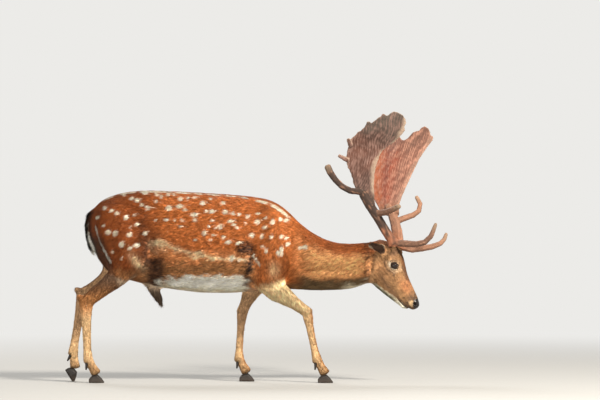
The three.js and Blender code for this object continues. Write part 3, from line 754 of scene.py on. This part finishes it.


# Legs: sandy below, browner in front, with painted shade on their inner sides, behind the hind
# shank and under the thigh.
def legMarkings(colour, places, side, facing, parts, wobble):
    x, _, z = places.T
    fore, hind = onParts(parts, "foreleg"), onParts(parts, "hindleg")
    inward = ramp(facing[:, 1] * -np.sign(side), 0.2, 0.7)
    rearward = -facing[:, 0]
    sandy = layered(coatPaint, "leg", ("legLow", ramp(z, 0.36, 0.26)))
    lowerFore = layered(
        coatPaint,
        sandy,
        ("legFront", ramp(facing[:, 0], 0.2, 0.8) * ramp(z, 0.42, 0.30) * 0.7),
        ("grizzle", ramp(rearward, 0.4, 0.9) * 0.35),
    )
    slant = z + 1.2 * wobble - 0.35 * (x - 0.10) * (side < 0)
    colour = mixed(colour, lowerFore, fore * ramp(slant, 0.462, 0.425))
    lowerHind = layered(
        coatPaint,
        sandy,
        ("legFront", ramp(z, 0.26, 0.34)),
        ("grizzle", ramp(rearward, 0.3, 0.8) * ramp(z, 0.30, 0.36) * 0.6),
        # painted shade under the thigh
        ("fold", ramp(z + wobble, 0.375, 0.410) * 0.4),
    )
    colour = mixed(colour, lowerHind, hind * ramp(z + wobble, 0.46, 0.36))
    behindShank = hill(fromSideLine(places, (-0.665, 0.455), (-0.742, 0.385)), 0.018)
    thighFront = hill(fromSideLine(places, (-0.510, 0.452), (-0.548, 0.428)), 0.012)
    return layered(
        coatPaint,
        colour,
        # painted shade behind the hind shank
        ("fold", hind * behindShank * 0.6),
        ("inner", hind * thighFront * 0.7),
        # painted shade on the inner sides of the legs
        ("legInner", (fore + hind) * inward * ramp(z, 0.12, 0.25) * ramp(z, 0.66, 0.5)),
        ("grizzle", (fore + hind) * ramp(z, 0.115, 0.060) * 0.6),
        ("dark", onParts(parts, "sheath") * ramp(z, 0.45, 0.38) * 0.85),
    )


def headColours(places, facing, streaks):
    local = inHead(places)
    along, up, beside = local[:, 0], local[:, 2], np.abs(local[:, 1])
    profile = np.stack([along, up], 1)
    shift = drift(places, 0.03, 9) * 0.002 + streaks * 0.0015
    mottle = 0.5 * drift(places, 0.018, 17) + 0.7 * drift(places, 0.0075, 18)

    def nearLine(start, end):
        return lineDistance(profile, start, end)

    brow = hill(along - 0.075, 0.040) * hill(up - 0.034, 0.022) * ramp(beside, 0.024, 0.036)
    ridge = ramp(beside, 0.026, 0.014) * ramp(along + shift, 0.06, 0.09)
    ridge *= ramp(along, 0.235, 0.17) * ramp(facing @ headAxes[:, 2], 0.1, 0.6)
    ridgeSide = hill(nearLine((0.128, 0.038), (0.190, 0.020)), 0.006)
    # painted shade in the hollow behind the jaw
    behindJaw = hill(nearLine((0.016, -0.030), (0.070, -0.112)), 0.012)

    # dark streaks over the jaw, from behind the eye to the corner of the mouth
    jawLine = np.interp(
        along, [0.03, 0.09, 0.13, 0.17, 0.22], [-0.030, -0.050, -0.062, -0.062, -0.056]
    )
    jawStreaks = hill(up + shift - jawLine, 0.014) * ramp(along, 0.06, 0.11)
    jawStreaks *= ramp(along, 0.24, 0.20) * np.clip(0.6 + 0.4 * streaks + 0.7 * mottle, 0, 1)
    underEye = hill(nearLine((0.090, -0.022), (0.150, -0.024)), 0.010)

    # muzzle, white edge of the jaw with painted shade under it, chin and mouth
    muzzle = ramp(along + 0.35 * up + 2 * shift, 0.215, 0.262)
    jawEdge = np.interp(along, [0.06, 0.104, 0.205, 0.25], [-0.112, -0.098, -0.064, -0.058])
    jaw = ramp(up + 2 * shift - jawEdge, 0.001, -0.007) * ramp(along, 0.085, 0.120)
    jawUnder = ramp(jawEdge - up, 0.007, 0.015) * ramp(along, 0.08, 0.12)
    mouthHeight = np.interp(along, [0.215, 0.250, 0.292], [-0.060, -0.050, -0.042])
    chin = ramp(up + shift, mouthHeight, mouthHeight - 0.006) * ramp(along, 0.216, 0.236)
    mouthAway = mouthDistance(local)
    lip = hill(mouthAway - 0.0065, 0.0050) * (along > 0.21) * (up > -0.056)
    wing = (mirroredHead(local) - [0.279, 0.025, -0.020]) / [0.015, 0.020, 0.012]
    gland = ramp(nearLine((0.124, -0.004), (0.142, -0.012)), 0.0042, 0.0018)
    colour = layered(
        coatPaint,
        "face",
        ("neckTop", ramp(along, 0.03, -0.01) * 0.6),
        ("cheek", hill(along - 0.085, 0.060) * hill(up + 0.045 + shift, 0.038) * 0.95),
        ("brow", brow * 0.8),
        ("forehead", ridge * 0.8),
        ("temple", ridgeSide * (0.7 - 0.3 * streaks)),
        ("temple", hill(along - 0.058, 0.016) * ramp(up, 0.018, 0.040) * 0.85),
        ("muzzleSide", hill(along - 0.205, 0.040) * hill(up, 0.022) * 0.7),
        # painted shade behind the jaw
        ("temple", behindJaw * (0.85 - 0.2 * streaks)),
        ("temple", jawStreaks),
        ("temple", underEye * np.clip(0.25 + 0.6 * mottle, 0, 0.8)),
        ("muzzle", muzzle * np.clip(0.70 - 0.25 * mottle, 0, 1)),
        ("jaw", jaw * np.clip(0.80 + 0.35 * mottle, 0, 1)),
        # painted shade under the jaw
        ("jawUnder", jawUnder * ramp(along, 0.24, 0.21)),
        ("chin", chin),
        ("dark", lip * 0.55),
        ("dark", ramp(mouthAway, 0.0042, 0.0020) * ramp(along, 0.212, 0.232) * 0.92),
        ("lipPale", ramp(np.linalg.norm(wing, axis=1), 1.3, 0.6) * 0.75),
        ("dark", gland * ramp(beside, 0.03, 0.036) * 0.8),
    )

    # a pale ring round each eye, with painted shade in a crease below it, and dark lids
    below = 0.55 * ramp(up, 0.014, -0.006)
    outerEdge = 2.35 + np.interp(along, [0.085, 0.115, 0.140], [0.0, 0.25, 0.55]) + below
    above = 1 - 0.30 * ramp(up, 0.024, 0.036)
    for name in sideSigns:
        oval, depth, _ = eyeOval(local, name)
        near = (depth > -0.016) & (local[:, 1] * sideSigns[name] > 0)
        ring = ramp(oval + shift * 60, outerEdge, outerEdge - 0.75) * above
        paleSide = ramp(oval, 2.0, 1.6) * ramp(up, 0.020, 0.004) * ramp(along, 0.136, 0.118)
        crease = hill(oval - 3.0, 0.34) * ramp(up, 0.008, -0.008) * ramp(along, 0.150, 0.125)
        colour = layered(
            coatPaint,
            colour,
            ("eyeRing", ring * near * np.clip(0.72 + 0.25 * streaks + 0.45 * mottle, 0.1, 1)),
            ("eyeRingPale", paleSide * near * np.clip(0.85 + 0.3 * mottle, 0, 1)),
            # painted shade in the crease below the eye
            ("temple", crease * near * 0.9),
            ("eyelid", ramp(oval, 1.36, 1.20) * near),
        )
    colour = colour * (1 + 0.34 * np.clip(mottle, -1.3, 1.3))[:, None]
    return layered(coatPaint, colour, ("nose", noseShare(local)))


def coatColours(places, facing, parts):
    x, y, z = places.T
    side = y - midPlane
    wobble = drift(places, 0.06, 1) * 0.005 + drift(places, 0.02, 2) * 0.003
    streaks = 0.35 * locks(places, parts, 0.012, 3) + 0.5 * locks(places, parts, 0.006, 4)
    streaks += 0.75 * locks(places, parts, 0.0034, 8)
    top, bottom = np.interp(x, slices, backLine), np.interp(x, slices, bellyLine)
    rise = (z + wobble - bottom) / (top - bottom)  # 0 under the belly, 1 on the back
    onNeck = np.maximum(onParts(parts, "neck") * ramp(x, 0.13, 0.24), ramp(x, 0.20, 0.27))

    colour = trunkColours(places, side, rise, streaks, wobble)
    colour = mixed(colour, neckColours(places, rise, streaks, wobble), onNeck)
    colour = layered(coatPaint, colour, ("spot", spotShare(places, side, rise, parts) * 0.95))
    colour = rumpMarkings(colour, places, side, facing, wobble, onParts(parts, "tail"))
    colour = legMarkings(colour, places, side, facing, parts, wobble)
    colour = mixed(colour, headColours(places, facing, streaks), onParts(parts, "head"))

    # ears: brown behind, with painted shade in the hollow, and a pale fringe along the rim
    hollow, fringe = earHollow(places, facing)
    ear = layered(
        coatPaint,
        "earBack",
        ("earDeep", hollow),
        ("earFringe", fringe * (0.15 + 0.45 * hollow)),
    )
    colour = mixed(colour, ear, onParts(parts, "ear_"))
    strength = 0.52 - 0.20 * onParts(parts, "head", "ear_", "_lower")
    return colour * (1 + strength * np.clip(streaks, -1.2, 1.2))[:, None]


# The moist pad of the nose, with the rims of the nostrils.
def noseShare(local):
    along, up, beside = local[:, 0], local[:, 2], np.abs(local[:, 1])
    pad = ramp(along + 0.25 * up, 0.268, 0.275) * ramp(beside, 0.026, 0.019)
    pad *= ramp(up, 0.016, 0.008) * ramp(up, -0.028, -0.020)
    return np.clip(pad + ramp(nostrilDistance(local), 1.6, 1.1), 0, 1)


# How far a place is inside the hollow of its ear, which is painted as shade, and how near to the
# rim.
def earHollow(places, facing):
    turned = facing @ headAxes
    hollow = ramp(turned[:, 0] * 0.85 - turned[:, 2] * 0.5, 0.0, 0.4)
    away = np.full(len(places), 1.0)
    for side in sideSigns:
        offset = places - pointsOf(cadNodes["ear_" + side].data).mean(0)
        axis = earAxis(side)
        off = np.linalg.norm(offset - (offset @ axis)[:, None] * axis, axis=1)
        away = np.where(np.linalg.norm(offset, axis=1) < 0.12, off, away)
    return hollow, ramp(away, 0.021, 0.029)


paintMesh(skin.data, "coatColour", coatColours(points, normals, parts))
wet = noseShare(local) * onParts(parts, "head")
paintMesh(skin.data, "wetness", wet[:, None])
startEdit(skin)
bpy.ops.uv.smart_project(angle_limit=math.radians(66), island_margin=0.002)
stopEdit()
skin.data.uv_layers[0].name = "OFBake"
print("skin painted and unwrapped")

# Tufts grow from the skin, thicker where there is more of it.
tuftPlan = {
    "mostInPiece": 60000,
    "bareMouth": 0.0022,
    "bareEye": 1.22,
    "bareNose": 0.4,
    "patch": 0.003,
    "rootShade": 0.80,
    "middleShade": 1.08,
    "tipShade": 1.30,
    "rootDepth": 0.0005,
    "ridge": 0.22,
    "ridgeAlong": 0.12,
    "uneven": 0.20,
    "clumpShade": 0.13,
    "fleckShade": 0.55,
    "turn": 0.16,
    "swirl": 0.30,
    "lengths": (0.7, 1.25),
    "lifts": (0.35, 1.15),
    "widths": (0.8, 1.2),
    "flatLengths": (0.006, 0.015),  # short hair lies flat and shades itself less
    "flatShades": (0.82, 1.0),
}
coatPieces = {
    "coatTrunk": ["trunk"],
    "coatNeck": ["neck"],
    "coatHead": ["head", "ear_"],
    "coatTail": ["tail", "sheath"],
    "coatForelegs": ["foreleg"],
    "coatHindlegs": ["hindleg"],
}
dice = np.random.default_rng(7)
corners = readArray(skin.data.loops, "vertex_index", 1, np.int32).reshape(-1, 3)
cornerPlaces = readArray(skin.data.uv_layers["OFBake"].data, "uv", 2, np.float32).reshape(-1, 3, 2)

bare = (wet > tuftPlan["bareNose"]) | (mouthDistance(local) < tuftPlan["bareMouth"])
for name, sign in sideSigns.items():
    oval, depth, _ = eyeOval(local, name)
    bare |= (oval < tuftPlan["bareEye"]) & (depth > -0.01) & (local[:, 1] * sign > 0)
bare = bare * onParts(parts, "head")
a, b, c = points[corners[:, 0]], points[corners[:, 1]], points[corners[:, 2]]
area = np.linalg.norm(np.cross(b - a, c - a), axis=1) / 2
expected = area * (coat["dense"] * (1 - bare))[corners].mean(1)
counts = np.floor(expected + dice.random(len(expected))).astype(int)
rootFace = np.repeat(np.arange(len(corners)), counts)
u, v = dice.random((2, len(rootFace)))
flip = u + v > 1
u[flip], v[flip] = 1 - u[flip], 1 - v[flip]
shares = np.stack([1 - u - v, u, v], 1)


def atRoots(field):
    return np.einsum("ij,ij...->i...", shares, field[corners[rootFace]])


rootPlaces = atRoots(points)
rootNormals = unit(atRoots(normals))
rootParts = parts[corners[rootFace, 0]]
rootUv = np.einsum("ij,ijk->ik", shares, cornerPlaces[rootFace])
tuftCount = len(rootFace)
along = atRoots(coat["lie"])
along = unit(along - rootNormals * (along * rootNormals).sum(1)[:, None])
across = np.cross(rootNormals, along)
clump = locks(rootPlaces, rootParts, 0.011, 24)
turn = dice.normal(0, tuftPlan["turn"], tuftCount)
swirl = 0.6 * drift(rootPlaces, 0.045, 21) + 0.4 * drift(rootPlaces, 0.016, 22)
turn += tuftPlan["swirl"] * swirl
along = along * np.cos(turn)[:, None] + across * np.sin(turn)[:, None]
across = np.cross(rootNormals, along)
length = atRoots(coat["length"]) * dice.uniform(*tuftPlan["lengths"], tuftCount)
lift = atRoots(coat["lift"]) * dice.uniform(*tuftPlan["lifts"], tuftCount)
lift *= 1 + 0.35 * np.clip(clump, -1, 1)
width = atRoots(coat["width"]) * dice.uniform(*tuftPlan["widths"], tuftCount)
reach = along * np.sqrt(np.maximum(length**2 - lift**2, 0))[:, None] + rootNormals * lift[:, None]
base = rootPlaces - rootNormals * tuftPlan["rootDepth"]
half = across * (width / 2)[:, None]
ridge = rootNormals * (width * tuftPlan["ridge"])[:, None] + reach * tuftPlan["ridgeAlong"]
tufts = np.stack([base - half, base + half, base + ridge, base + reach], 1)
shade = 1 + tuftPlan["uneven"] * dice.normal(0, 1, tuftCount)
patchy = clump + 0.6 * drift(rootPlaces, 0.04, 25)
shade += tuftPlan["clumpShade"] * np.clip(patchy, -1.4, 1.4)
flecked = dice.random(tuftCount) < atRoots(spread(regionValues("dark")[parts], edges, 8))
shade = np.where(flecked, shade * tuftPlan["fleckShade"], shade)
shade *= np.interp(length, tuftPlan["flatLengths"], tuftPlan["flatShades"])
tuftColours = coatColours(rootPlaces, rootNormals, rootParts)
tuftColours *= np.clip(shade, 0.3, 1.5)[:, None]
print("coat laid,", tuftCount, "tufts")

tuftFaces = np.array([(0, 2, 3), (2, 1, 3), (1, 0, 3)])
tuftShades = [tuftPlan[key] for key in ("rootShade", "rootShade", "middleShade", "tipShade")]
patch = tuftPlan["patch"] * np.array([(0.1, 0.1), (0.9, 0.1), (0.5, 0.2), (0.5, 0.9)])


def tuftMesh(label, chosen):
    mesh = bpy.data.meshes.new(label)
    mesh.vertices.add(len(chosen) * 4)
    mesh.vertices.foreach_set("co", tufts[chosen].ravel())
    faces = (np.arange(len(chosen))[:, None, None] * 4 + tuftFaces).reshape(-1)
    mesh.loops.add(len(faces))
    mesh.loops.foreach_set("vertex_index", faces.astype(np.int32))
    mesh.polygons.add(len(faces) // 3)
    mesh.polygons.foreach_set("loop_start", np.arange(0, len(faces), 3, dtype=np.int32))
    mesh.update()
    whiteness = ramp(tuftColours[chosen].min(1), 0.35, 0.70)  # white hair keeps its shade
    shades = 1 + (np.array(tuftShades) - 1) * (1 - whiteness)[:, None]
    colours = tuftColours[chosen][:, None] * shades[:, :, None]
    paintMesh(mesh, "coatColour", colours.reshape(-1, 3))
    uv = rootUv[chosen][:, None, None] + patch[tuftFaces][None] - tuftPlan["patch"] / 2
    layer = mesh.uv_layers.new(name="OFBake")
    layer.data.foreach_set("uv", np.clip(uv, 0, 1).ravel())
    return placed(label, mesh)


coatMeshes = []
for label, words in coatPieces.items():
    members = np.nonzero(onParts(rootParts, *words))[0]
    members = members[np.argsort(rootPlaces[members, 0], kind="stable")]
    shareCount = math.ceil(len(members) / tuftPlan["mostInPiece"])
    for number, chosen in enumerate(np.array_split(members, shareCount)):
        coatMeshes.append(tuftMesh(f"{label}{number + 1}", chosen))
        print(coatMeshes[-1].name, len(chosen), "tufts")


def setInputs(node, values):
    for socket, value in values.items():
        node.inputs[socket].default_value = value


def newNode(tree, kind, inputs=None, **settings):
    node = tree.nodes.new("ShaderNode" + kind)
    setInputs(node, inputs or {})
    for name, value in settings.items():
        setattr(node, name, value)
    return node


def link(source, out, target, into):
    source.id_data.links.new(source.outputs[out], target.inputs[into])


def newMaterial(name, inputs, colours=None):
    material = bpy.data.materials.new(name)
    material.use_nodes = True
    tree = material.node_tree
    shader = tree.nodes["Principled BSDF"]
    setInputs(shader, inputs)
    if colours:
        link(newNode(tree, "Attribute", attribute_name=colours), "Color", shader, "Base Color")
    return material, tree, shader


# Fine relief of a surface, from noise as small as its scale is large.
def addGrain(tree, shader, scale, detail, strength, depth):
    stretch = newNode(tree, "Mapping", {"Scale": scale})
    grain = newNode(tree, "TexNoise", {"Scale": 1, "Detail": detail})
    raised = newNode(tree, "Bump", {"Strength": strength, "Distance": depth})
    link(newNode(tree, "TexCoord"), "Object", stretch, "Vector")
    link(stretch, "Vector", grain, "Vector")
    link(grain, "Fac", raised, "Height")
    link(raised, "Normal", shader, "Normal")


coatShine = {"Roughness": 0.66, "Specular IOR Level": 0.14}
tuftLook = newMaterial("summer coat", coatShine, "coatColour")[0]
for piece in coatMeshes:
    piece.data.materials.append(tuftLook)

skinLook, tree, shader = newMaterial("under coat", {"Specular IOR Level": 0.3}, "coatColour")
damp = newNode(tree, "MapRange", {"To Min": 0.8, "To Max": 0.28})
link(newNode(tree, "Attribute", attribute_name="wetness"), "Fac", damp, "Value")
link(damp, "Result", shader, "Roughness")
addGrain(tree, shader, (420, 420, 420), 3, 0.35, 0.0012)
skin.data.materials.append(skinLook)

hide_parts(*fleshNames)
for piece in [skin] + coatMeshes:
    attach(piece, "root")

# Antlers in velvet: beam, tines and palm in one skin, veined lengthwise.
antlerPlan = {
    "voxel": 0.0026,
    "swell": 0.0014,
    "rounds": 4,
    "veinOut": 0.0006,
    "grainOut": 0.0004,
    "rimRough": 0.0012,
    "fanDepth": 0.16,  # the veins spread from a point this far below the palm
    "sliceHalf": 0.03,
}
# Velvet colours: the outer faces of palm and beam carry painted shade, the inner faces painted
# light, and the pale rim is a painted highlight.
velvetPaint = paints(
    outer=(48, 34, 28), outerVein=(130, 100, 90), outerMiddle=(92, 58, 46), outerTop=(80, 70, 62),
    innerRear=(160, 88, 56), inner=(130, 66, 48), innerFront=(104, 74, 62),
    innerVein=(174, 126, 106), rim=(162, 140, 122), beam=(52, 38, 31), beamInner=(144, 104, 82),
    beamBase=(144, 92, 66), tip=(132, 112, 92),
)
antlerParts = ["beam", "palm", "brow_tine", "trez_tine", "back_tine"]


# The directions in which points are spread out, from the widest to the narrowest.
def mainAxes(places):
    return np.linalg.svd(places - places.mean(0), full_matrices=False)[2]


def antler(side):
    names = [f"antler_{side}_{part}" for part in antlerParts]
    piece = remeshed(names, f"antler_{side}_velvet", antlerPlan["swell"], antlerPlan["voxel"])
    applyModifier(piece, "SMOOTH", factor=0.5, iterations=antlerPlan["rounds"])
    spots = pointsOf(piece.data)
    facing = normalsOf(piece.data)
    around = edgesOf(piece.data)
    limbs = [pointsOf(cadNodes[name].data) for name in names]
    palm = limbs[1]
    height = palm[:, 2]
    foot = palm[height < np.quantile(height, 0.12)].mean(0)
    crown = palm[height > np.quantile(height, 0.75)].mean(0)
    upward = unit(crown - foot)
    narrow = mainAxes(palm)[2]
    thin = unit(narrow * np.sign(narrow[1]) * sideSigns[side])  # outwards
    wide = np.cross(upward, thin)
    forward = wide * np.sign(wide[0])

    # the angle and the distance from the point where the veins meet
    def inFan(places):
        offset = places - (foot - upward * antlerPlan["fanDepth"])
        return np.arctan2(offset @ forward, offset @ upward), np.linalg.norm(offset, axis=1)

    angle, radius = inFan(spots)
    rimWeight = spread(ramp(np.abs(facing @ thin), 0.75, 0.35), around, 2)
    nearest = nodeLookup(names)(spots)
    onPalm = spread(nearest == 1, around, 3) * ramp((spots - foot) @ upward, 0.0, 0.07)
    inner = ramp(facing @ thin, 0.15, -0.15)
    swayed = angle + 0.018 * drift(spots, 0.14, 42)
    strands = np.stack([swayed * 0.30, 0.085 * radius, 0.4 * (spots @ thin)], 1)
    broadVeins = drift(strands, 0.022, 31)
    fineVeins = drift(strands, 0.0062, 32)
    veins = 0.6 * broadVeins + 0.4 * fineVeins
    raised = antlerPlan["veinOut"] * onPalm * (1 - rimWeight) * veins
    raised += antlerPlan["grainOut"] * drift(spots, 0.012, 33) * (1 - 0.6 * onPalm)
    raised += antlerPlan["rimRough"] * drift(spots, 0.02, 34) * rimWeight * onPalm
    movePoints(piece.data, spots + facing * raised[:, None])

    # beam and tines, fibrous along their length, with painted shade on the outer side and painted
    # light on the inner side
    fromPoll = np.linalg.norm(spots - poll, axis=1) + 0.02 * drift(spots, 0.04, 41)
    lengthwise = np.array([mainAxes(limb)[0] for limb in limbs])[nearest]
    fibres = drawnOut(spots, lengthwise, 0.85, 0.010, 43)
    onTine = spread(np.isin(nearest, [2, 3]), around, 2)
    colour = layered(
        velvetPaint,
        "beam",
        ("beamInner", np.clip(inner + 0.3 * fibres, 0, 1) * 0.85),
        ("beamInner", ramp(fibres, 0.3, 1.2) * 0.5),
        ("beamInner", onTine * 0.35),
        ("beamBase", ramp(fromPoll, 0.13, 0.070)),
    )
    broken = drift(spots, 0.030, 37)
    speckled = drawnOut(spots, upward, 0.8, 0.008, 44)
    veined = 0.25 * broadVeins + 0.6 * fineVeins + 0.5 * broken + 0.5 * speckled
    veined = ramp(veined, -0.6, 1.3)
    reach = (spots - foot) @ upward + 0.03 * drift(spots, 0.08, 40)

    # how far across the blade, from its rear edge to its front edge, at each distance from its foot
    palmAngle, palmRadius = inFan(palm)
    steps = np.linspace(palmRadius.min() + 0.02, palmRadius.max() - 0.01, 24)
    sections = [palmAngle[np.abs(palmRadius - step) < antlerPlan["sliceHalf"]] for step in steps]
    rearEdge = np.interp(radius, steps, [angles.min() for angles in sections])
    frontEdge = np.interp(radius, steps, [angles.max() for angles in sections])
    acrossBlade = (angle - rearEdge) / (frontEdge - rearEdge)
    fromFront, fromRear = (frontEdge - angle) * radius, (angle - rearEdge) * radius

    # the palm's outer face carries painted shade and its inner face painted light
    outerVeins = 0.55 + 0.45 * ramp(reach, 0.05, 0.20) - 0.30 * ramp(reach, 0.25, 0.38)
    outerFace = layered(
        velvetPaint,
        "outer",
        ("outerTop", ramp(reach, 0.20, 0.38) * 0.75),
        ("outerMiddle", hill(reach - 0.19, 0.09) * 0.8),
        ("outerVein", veined * outerVeins),
    )
    innerFace = layered(
        velvetPaint,
        "inner",
        ("innerRear", ramp(acrossBlade, 0.42, 0.20)),
        ("innerFront", ramp(acrossBlade, 0.50, 0.75) * 0.8),
        ("innerFront", ramp(reach, 0.22, 0.38) * 0.8),
        ("innerVein", veined * 0.85),
    )
    # a painted highlight along the palm's front and rear edges
    band = ramp(fromFront + 0.004 * broken, 0.026, 0.008) * (1 - 0.7 * inner)
    band = np.maximum(band, 0.6 * ramp(fromRear, 0.007, 0.002))
    colour = mixed(colour, mixed(outerFace, innerFace, inner), onPalm)
    colour = mixed(colour, velvetPaint["rim"], onPalm * np.maximum(rimWeight, band) * 0.75)
    for tine in limbs[2:]:
        tip = tine[np.argmax(np.linalg.norm(tine - limbs[0].mean(0), axis=1))]
        tipShare = ramp(np.linalg.norm(spots - tip, axis=1), 0.050, 0.010)
        colour = mixed(colour, velvetPaint["tip"], tipShare * 0.6)
    colour *= (1 + 0.12 * drift(spots, 0.045, 35) + 0.10 * drift(spots, 0.012, 36))[:, None]
    coloured(piece, velvetLook, "velvetColour", colour)
    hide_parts(*names)
    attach(piece, "root")
    return piece


velvetShine = {
    "Roughness": 0.8,
    "Specular IOR Level": 0.3,
    "Sheen Weight": 0.06,
    "Sheen Roughness": 0.5,
}
velvetLook, tree, shader = newMaterial("velvet", velvetShine, "velvetColour")
addGrain(tree, shader, (520, 520, 520), 2, 0.45, 0.001)
for side in sideSigns:
    piece = antler(side)
    print(piece.name, len(piece.data.polygons), "faces")

# Hooves and dewclaws: the CAD claws with their edges worn round.
hornPlan = {"voxel": 0.0014, "rounds": 5, "dark": paint(27, 22, 19), "pale": paint(58, 47, 38)}
hornShine = {"Roughness": 0.5, "Specular IOR Level": 0.28}
hornLook, tree, shader = newMaterial("hoof horn", hornShine, "hornColour")
addGrain(tree, shader, (40, 40, 420), 2, 0.4, 0.0012)


def clawsOf(end, side):
    kinds = ("hoof", "dewclaw")
    names = [f"{kind}_{end}_{side}_{half}" for kind in kinds for half in ("inner", "outer")]
    claws = [remeshed([name], "claw", 0, hornPlan["voxel"]) for name in names]
    for claw in claws:
        applyModifier(claw, "SMOOTH", factor=0.5, iterations=hornPlan["rounds"])
    foot = joined(claws)
    foot.name = foot.data.name = f"hooves_{end}_{side}"
    spots = pointsOf(foot.data)
    share = ramp(spots[:, 2] - spots[:, 2].min(), 0.034, 0.006)
    colour = mixed(hornPlan["dark"], hornPlan["pale"], share * 0.5)
    colour *= (1 + 0.12 * drift(spots * [1, 1, 4], 0.02, 41))[:, None]
    coloured(foot, hornLook, "hornColour", colour)
    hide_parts(*names)
    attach(foot, "root")


for end in ("fore", "hind"):
    for side in sideSigns:
        clawsOf(end, side)
print("hooves finished")

# Eyes: dark brown, with a pupil that lies level.
irisPaint = paints(pupil=(6, 6, 8), iris=(38, 23, 14), rim=(16, 11, 9), white=(70, 56, 46))
irisPlan = {"rim": (0.0138, 0.0126), "iris": (0.0118, 0.0095), "wide": 0.0062, "tall": 0.0036}
eyeShine = {"Roughness": 0.05, "Specular IOR Level": 0.38}
eyeLook = newMaterial("eye", eyeShine, "irisColour")[0]
for side in sideSigns:
    deselectAll()
    bpy.ops.mesh.primitive_uv_sphere_add(
        segments=72, ring_count=48, radius=eyePlan["radius"], location=eyeMiddles[side].tolist()
    )
    ball = bpy.context.object
    ball.name = ball.data.name = "eyeball_" + side
    bpy.ops.object.transform_apply(location=True, rotation=True, scale=True)
    spots = pointsOf(ball.data)
    _, depth, flat = eyeOval(inHead(spots), side)
    offset = inHead(spots) - inHead(eyeMiddles[side])
    look = eyeAxes(side)[0]
    level = unit(np.cross(look, headAxes[2]))
    tall = offset @ np.cross(look, level) / irisPlan["tall"]
    pupil = np.hypot(offset @ level / irisPlan["wide"], tall)
    colour = layered(
        irisPaint,
        "white",
        ("rim", ramp(flat, *irisPlan["rim"])),
        ("iris", ramp(flat, *irisPlan["iris"])),
        ("pupil", ramp(pupil, 1.15, 0.95) * (depth > 0)),
    )
    coloured(ball, eyeLook, "irisColour", colour)
    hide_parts("eye_" + side)
    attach(ball, "root")
print("eyes set")

# A pale floor that fades into the background, and shows it to every kind of clear reflection.
stagePlan = {
    "size": 120,
    "floor": (*paint(166, 165, 163), 1),
    "background": (*paint(236, 235, 232), 1),
    "fade": (1.8, 6.0),
    "sky": (1, 0.98, 0.92, 1),
    "skyStrength": 0.6,
}


def backgroundShare(tree):
    rays = newNode(tree, "LightPath")
    glossy = newNode(tree, "Math", operation="MAXIMUM")
    clear = newNode(tree, "Math", operation="MAXIMUM")
    link(rays, "Is Camera Ray", glossy, 0)
    link(rays, "Is Glossy Ray", glossy, 1)
    link(glossy, "Value", clear, 0)
    link(rays, "Is Transmission Ray", clear, 1)
    return clear


# Ends a shader tree in a blend of two of its shaders.
def blendShaders(tree, share, out, first, second, end):
    blend = newNode(tree, "MixShader")
    link(share, out, blend, "Fac")
    link(first, 0, blend, 1)
    link(second, 0, blend, 2)
    link(blend, "Shader", tree.nodes[end], "Surface")


deselectAll()
bpy.ops.mesh.primitive_plane_add(size=stagePlan["size"], location=(0, 0, 0))
floor = bpy.context.object
floor.name = "floor"
floorShine = {"Base Color": stagePlan["floor"], "Roughness": 0.9, "Specular IOR Level": 0.1}
floorLook, tree, shader = newMaterial("pale floor", floorShine)
distance = newNode(tree, "VectorMath", operation="LENGTH")
low, high = stagePlan["fade"]
fade = newNode(
    tree, "MapRange", {"From Min": low, "From Max": high}, interpolation_type="SMOOTHSTEP"
)
seen = newNode(tree, "Math", operation="MULTIPLY")
link(newNode(tree, "TexCoord"), "Object", distance, 0)
link(distance, "Value", fade, "Value")
link(fade, "Result", seen, 0)
link(backgroundShare(tree), "Value", seen, 1)
glow = newNode(tree, "Emission", {"Color": stagePlan["background"]})
blendShaders(tree, seen, "Value", shader, glow, "Material Output")
floor.data.materials.append(floorLook)

world = bpy.data.worlds.new("studio")
world.use_nodes = True
tree = world.node_tree
sky = tree.nodes["Background"]
setInputs(sky, {"Color": stagePlan["sky"], "Strength": stagePlan["skyStrength"]})
backdrop = newNode(tree, "Background", {"Color": stagePlan["background"]})
blendShaders(tree, backgroundShare(tree), "Value", sky, backdrop, "World Output")
bpy.context.scene.world = world


# Turns a thing at one place to look at another.
def aimAt(thing, place, target):
    thing.location = place
    thing.rotation_euler = (target - Vector(place)).to_track_quat("-Z", "Y").to_euler()


lampPlan = {
    "key": {"at": (3.6, -4.9, 4.8), "size": 1.5, "watts": 1010, "tint": (1.0, 0.94, 0.84)},
    "fill": {"at": (-2.2, -7.0, 1.0), "size": 3.0, "watts": 275, "tint": (1.0, 0.95, 0.86)},
    "back": {"at": (-2.5, 4.5, 5.0), "size": 3.0, "watts": 290, "tint": (1.0, 1.0, 1.0)},
}
lampAim = Vector((0.0, float(midPlane), 0.6))
for name, plan in lampPlan.items():
    lamp = bpy.data.lights.new(name, "AREA")
    lamp.shape = "DISK"
    lamp.size = plan["size"]
    lamp.energy = plan["watts"]
    lamp.color = plan["tint"]
    aimAt(placed(name, lamp), plan["at"], lampAim)

# A far camera, level with the deer's middle.
viewPlan = {
    "aim": (0.1895, -0.0727, 0.783),
    "away": 20,
    "up": math.radians(0.4),
    "seen": 2.58,
    "sensor": 36,
    "farthest": 200,
}
camera = bpy.data.cameras.new("camera")
camera.sensor_width = viewPlan["sensor"]
camera.lens = camera.sensor_width * viewPlan["away"] / viewPlan["seen"]
camera.clip_end = viewPlan["farthest"]
stand = placed("camera", camera)
aim = Vector(viewPlan["aim"])
backwards = Vector((0, -math.cos(viewPlan["up"]), math.sin(viewPlan["up"])))
aimAt(stand, aim + viewPlan["away"] * backwards, aim)
bpy.context.scene.camera = stand
bpy.context.scene.view_settings.view_transform = "Standard"
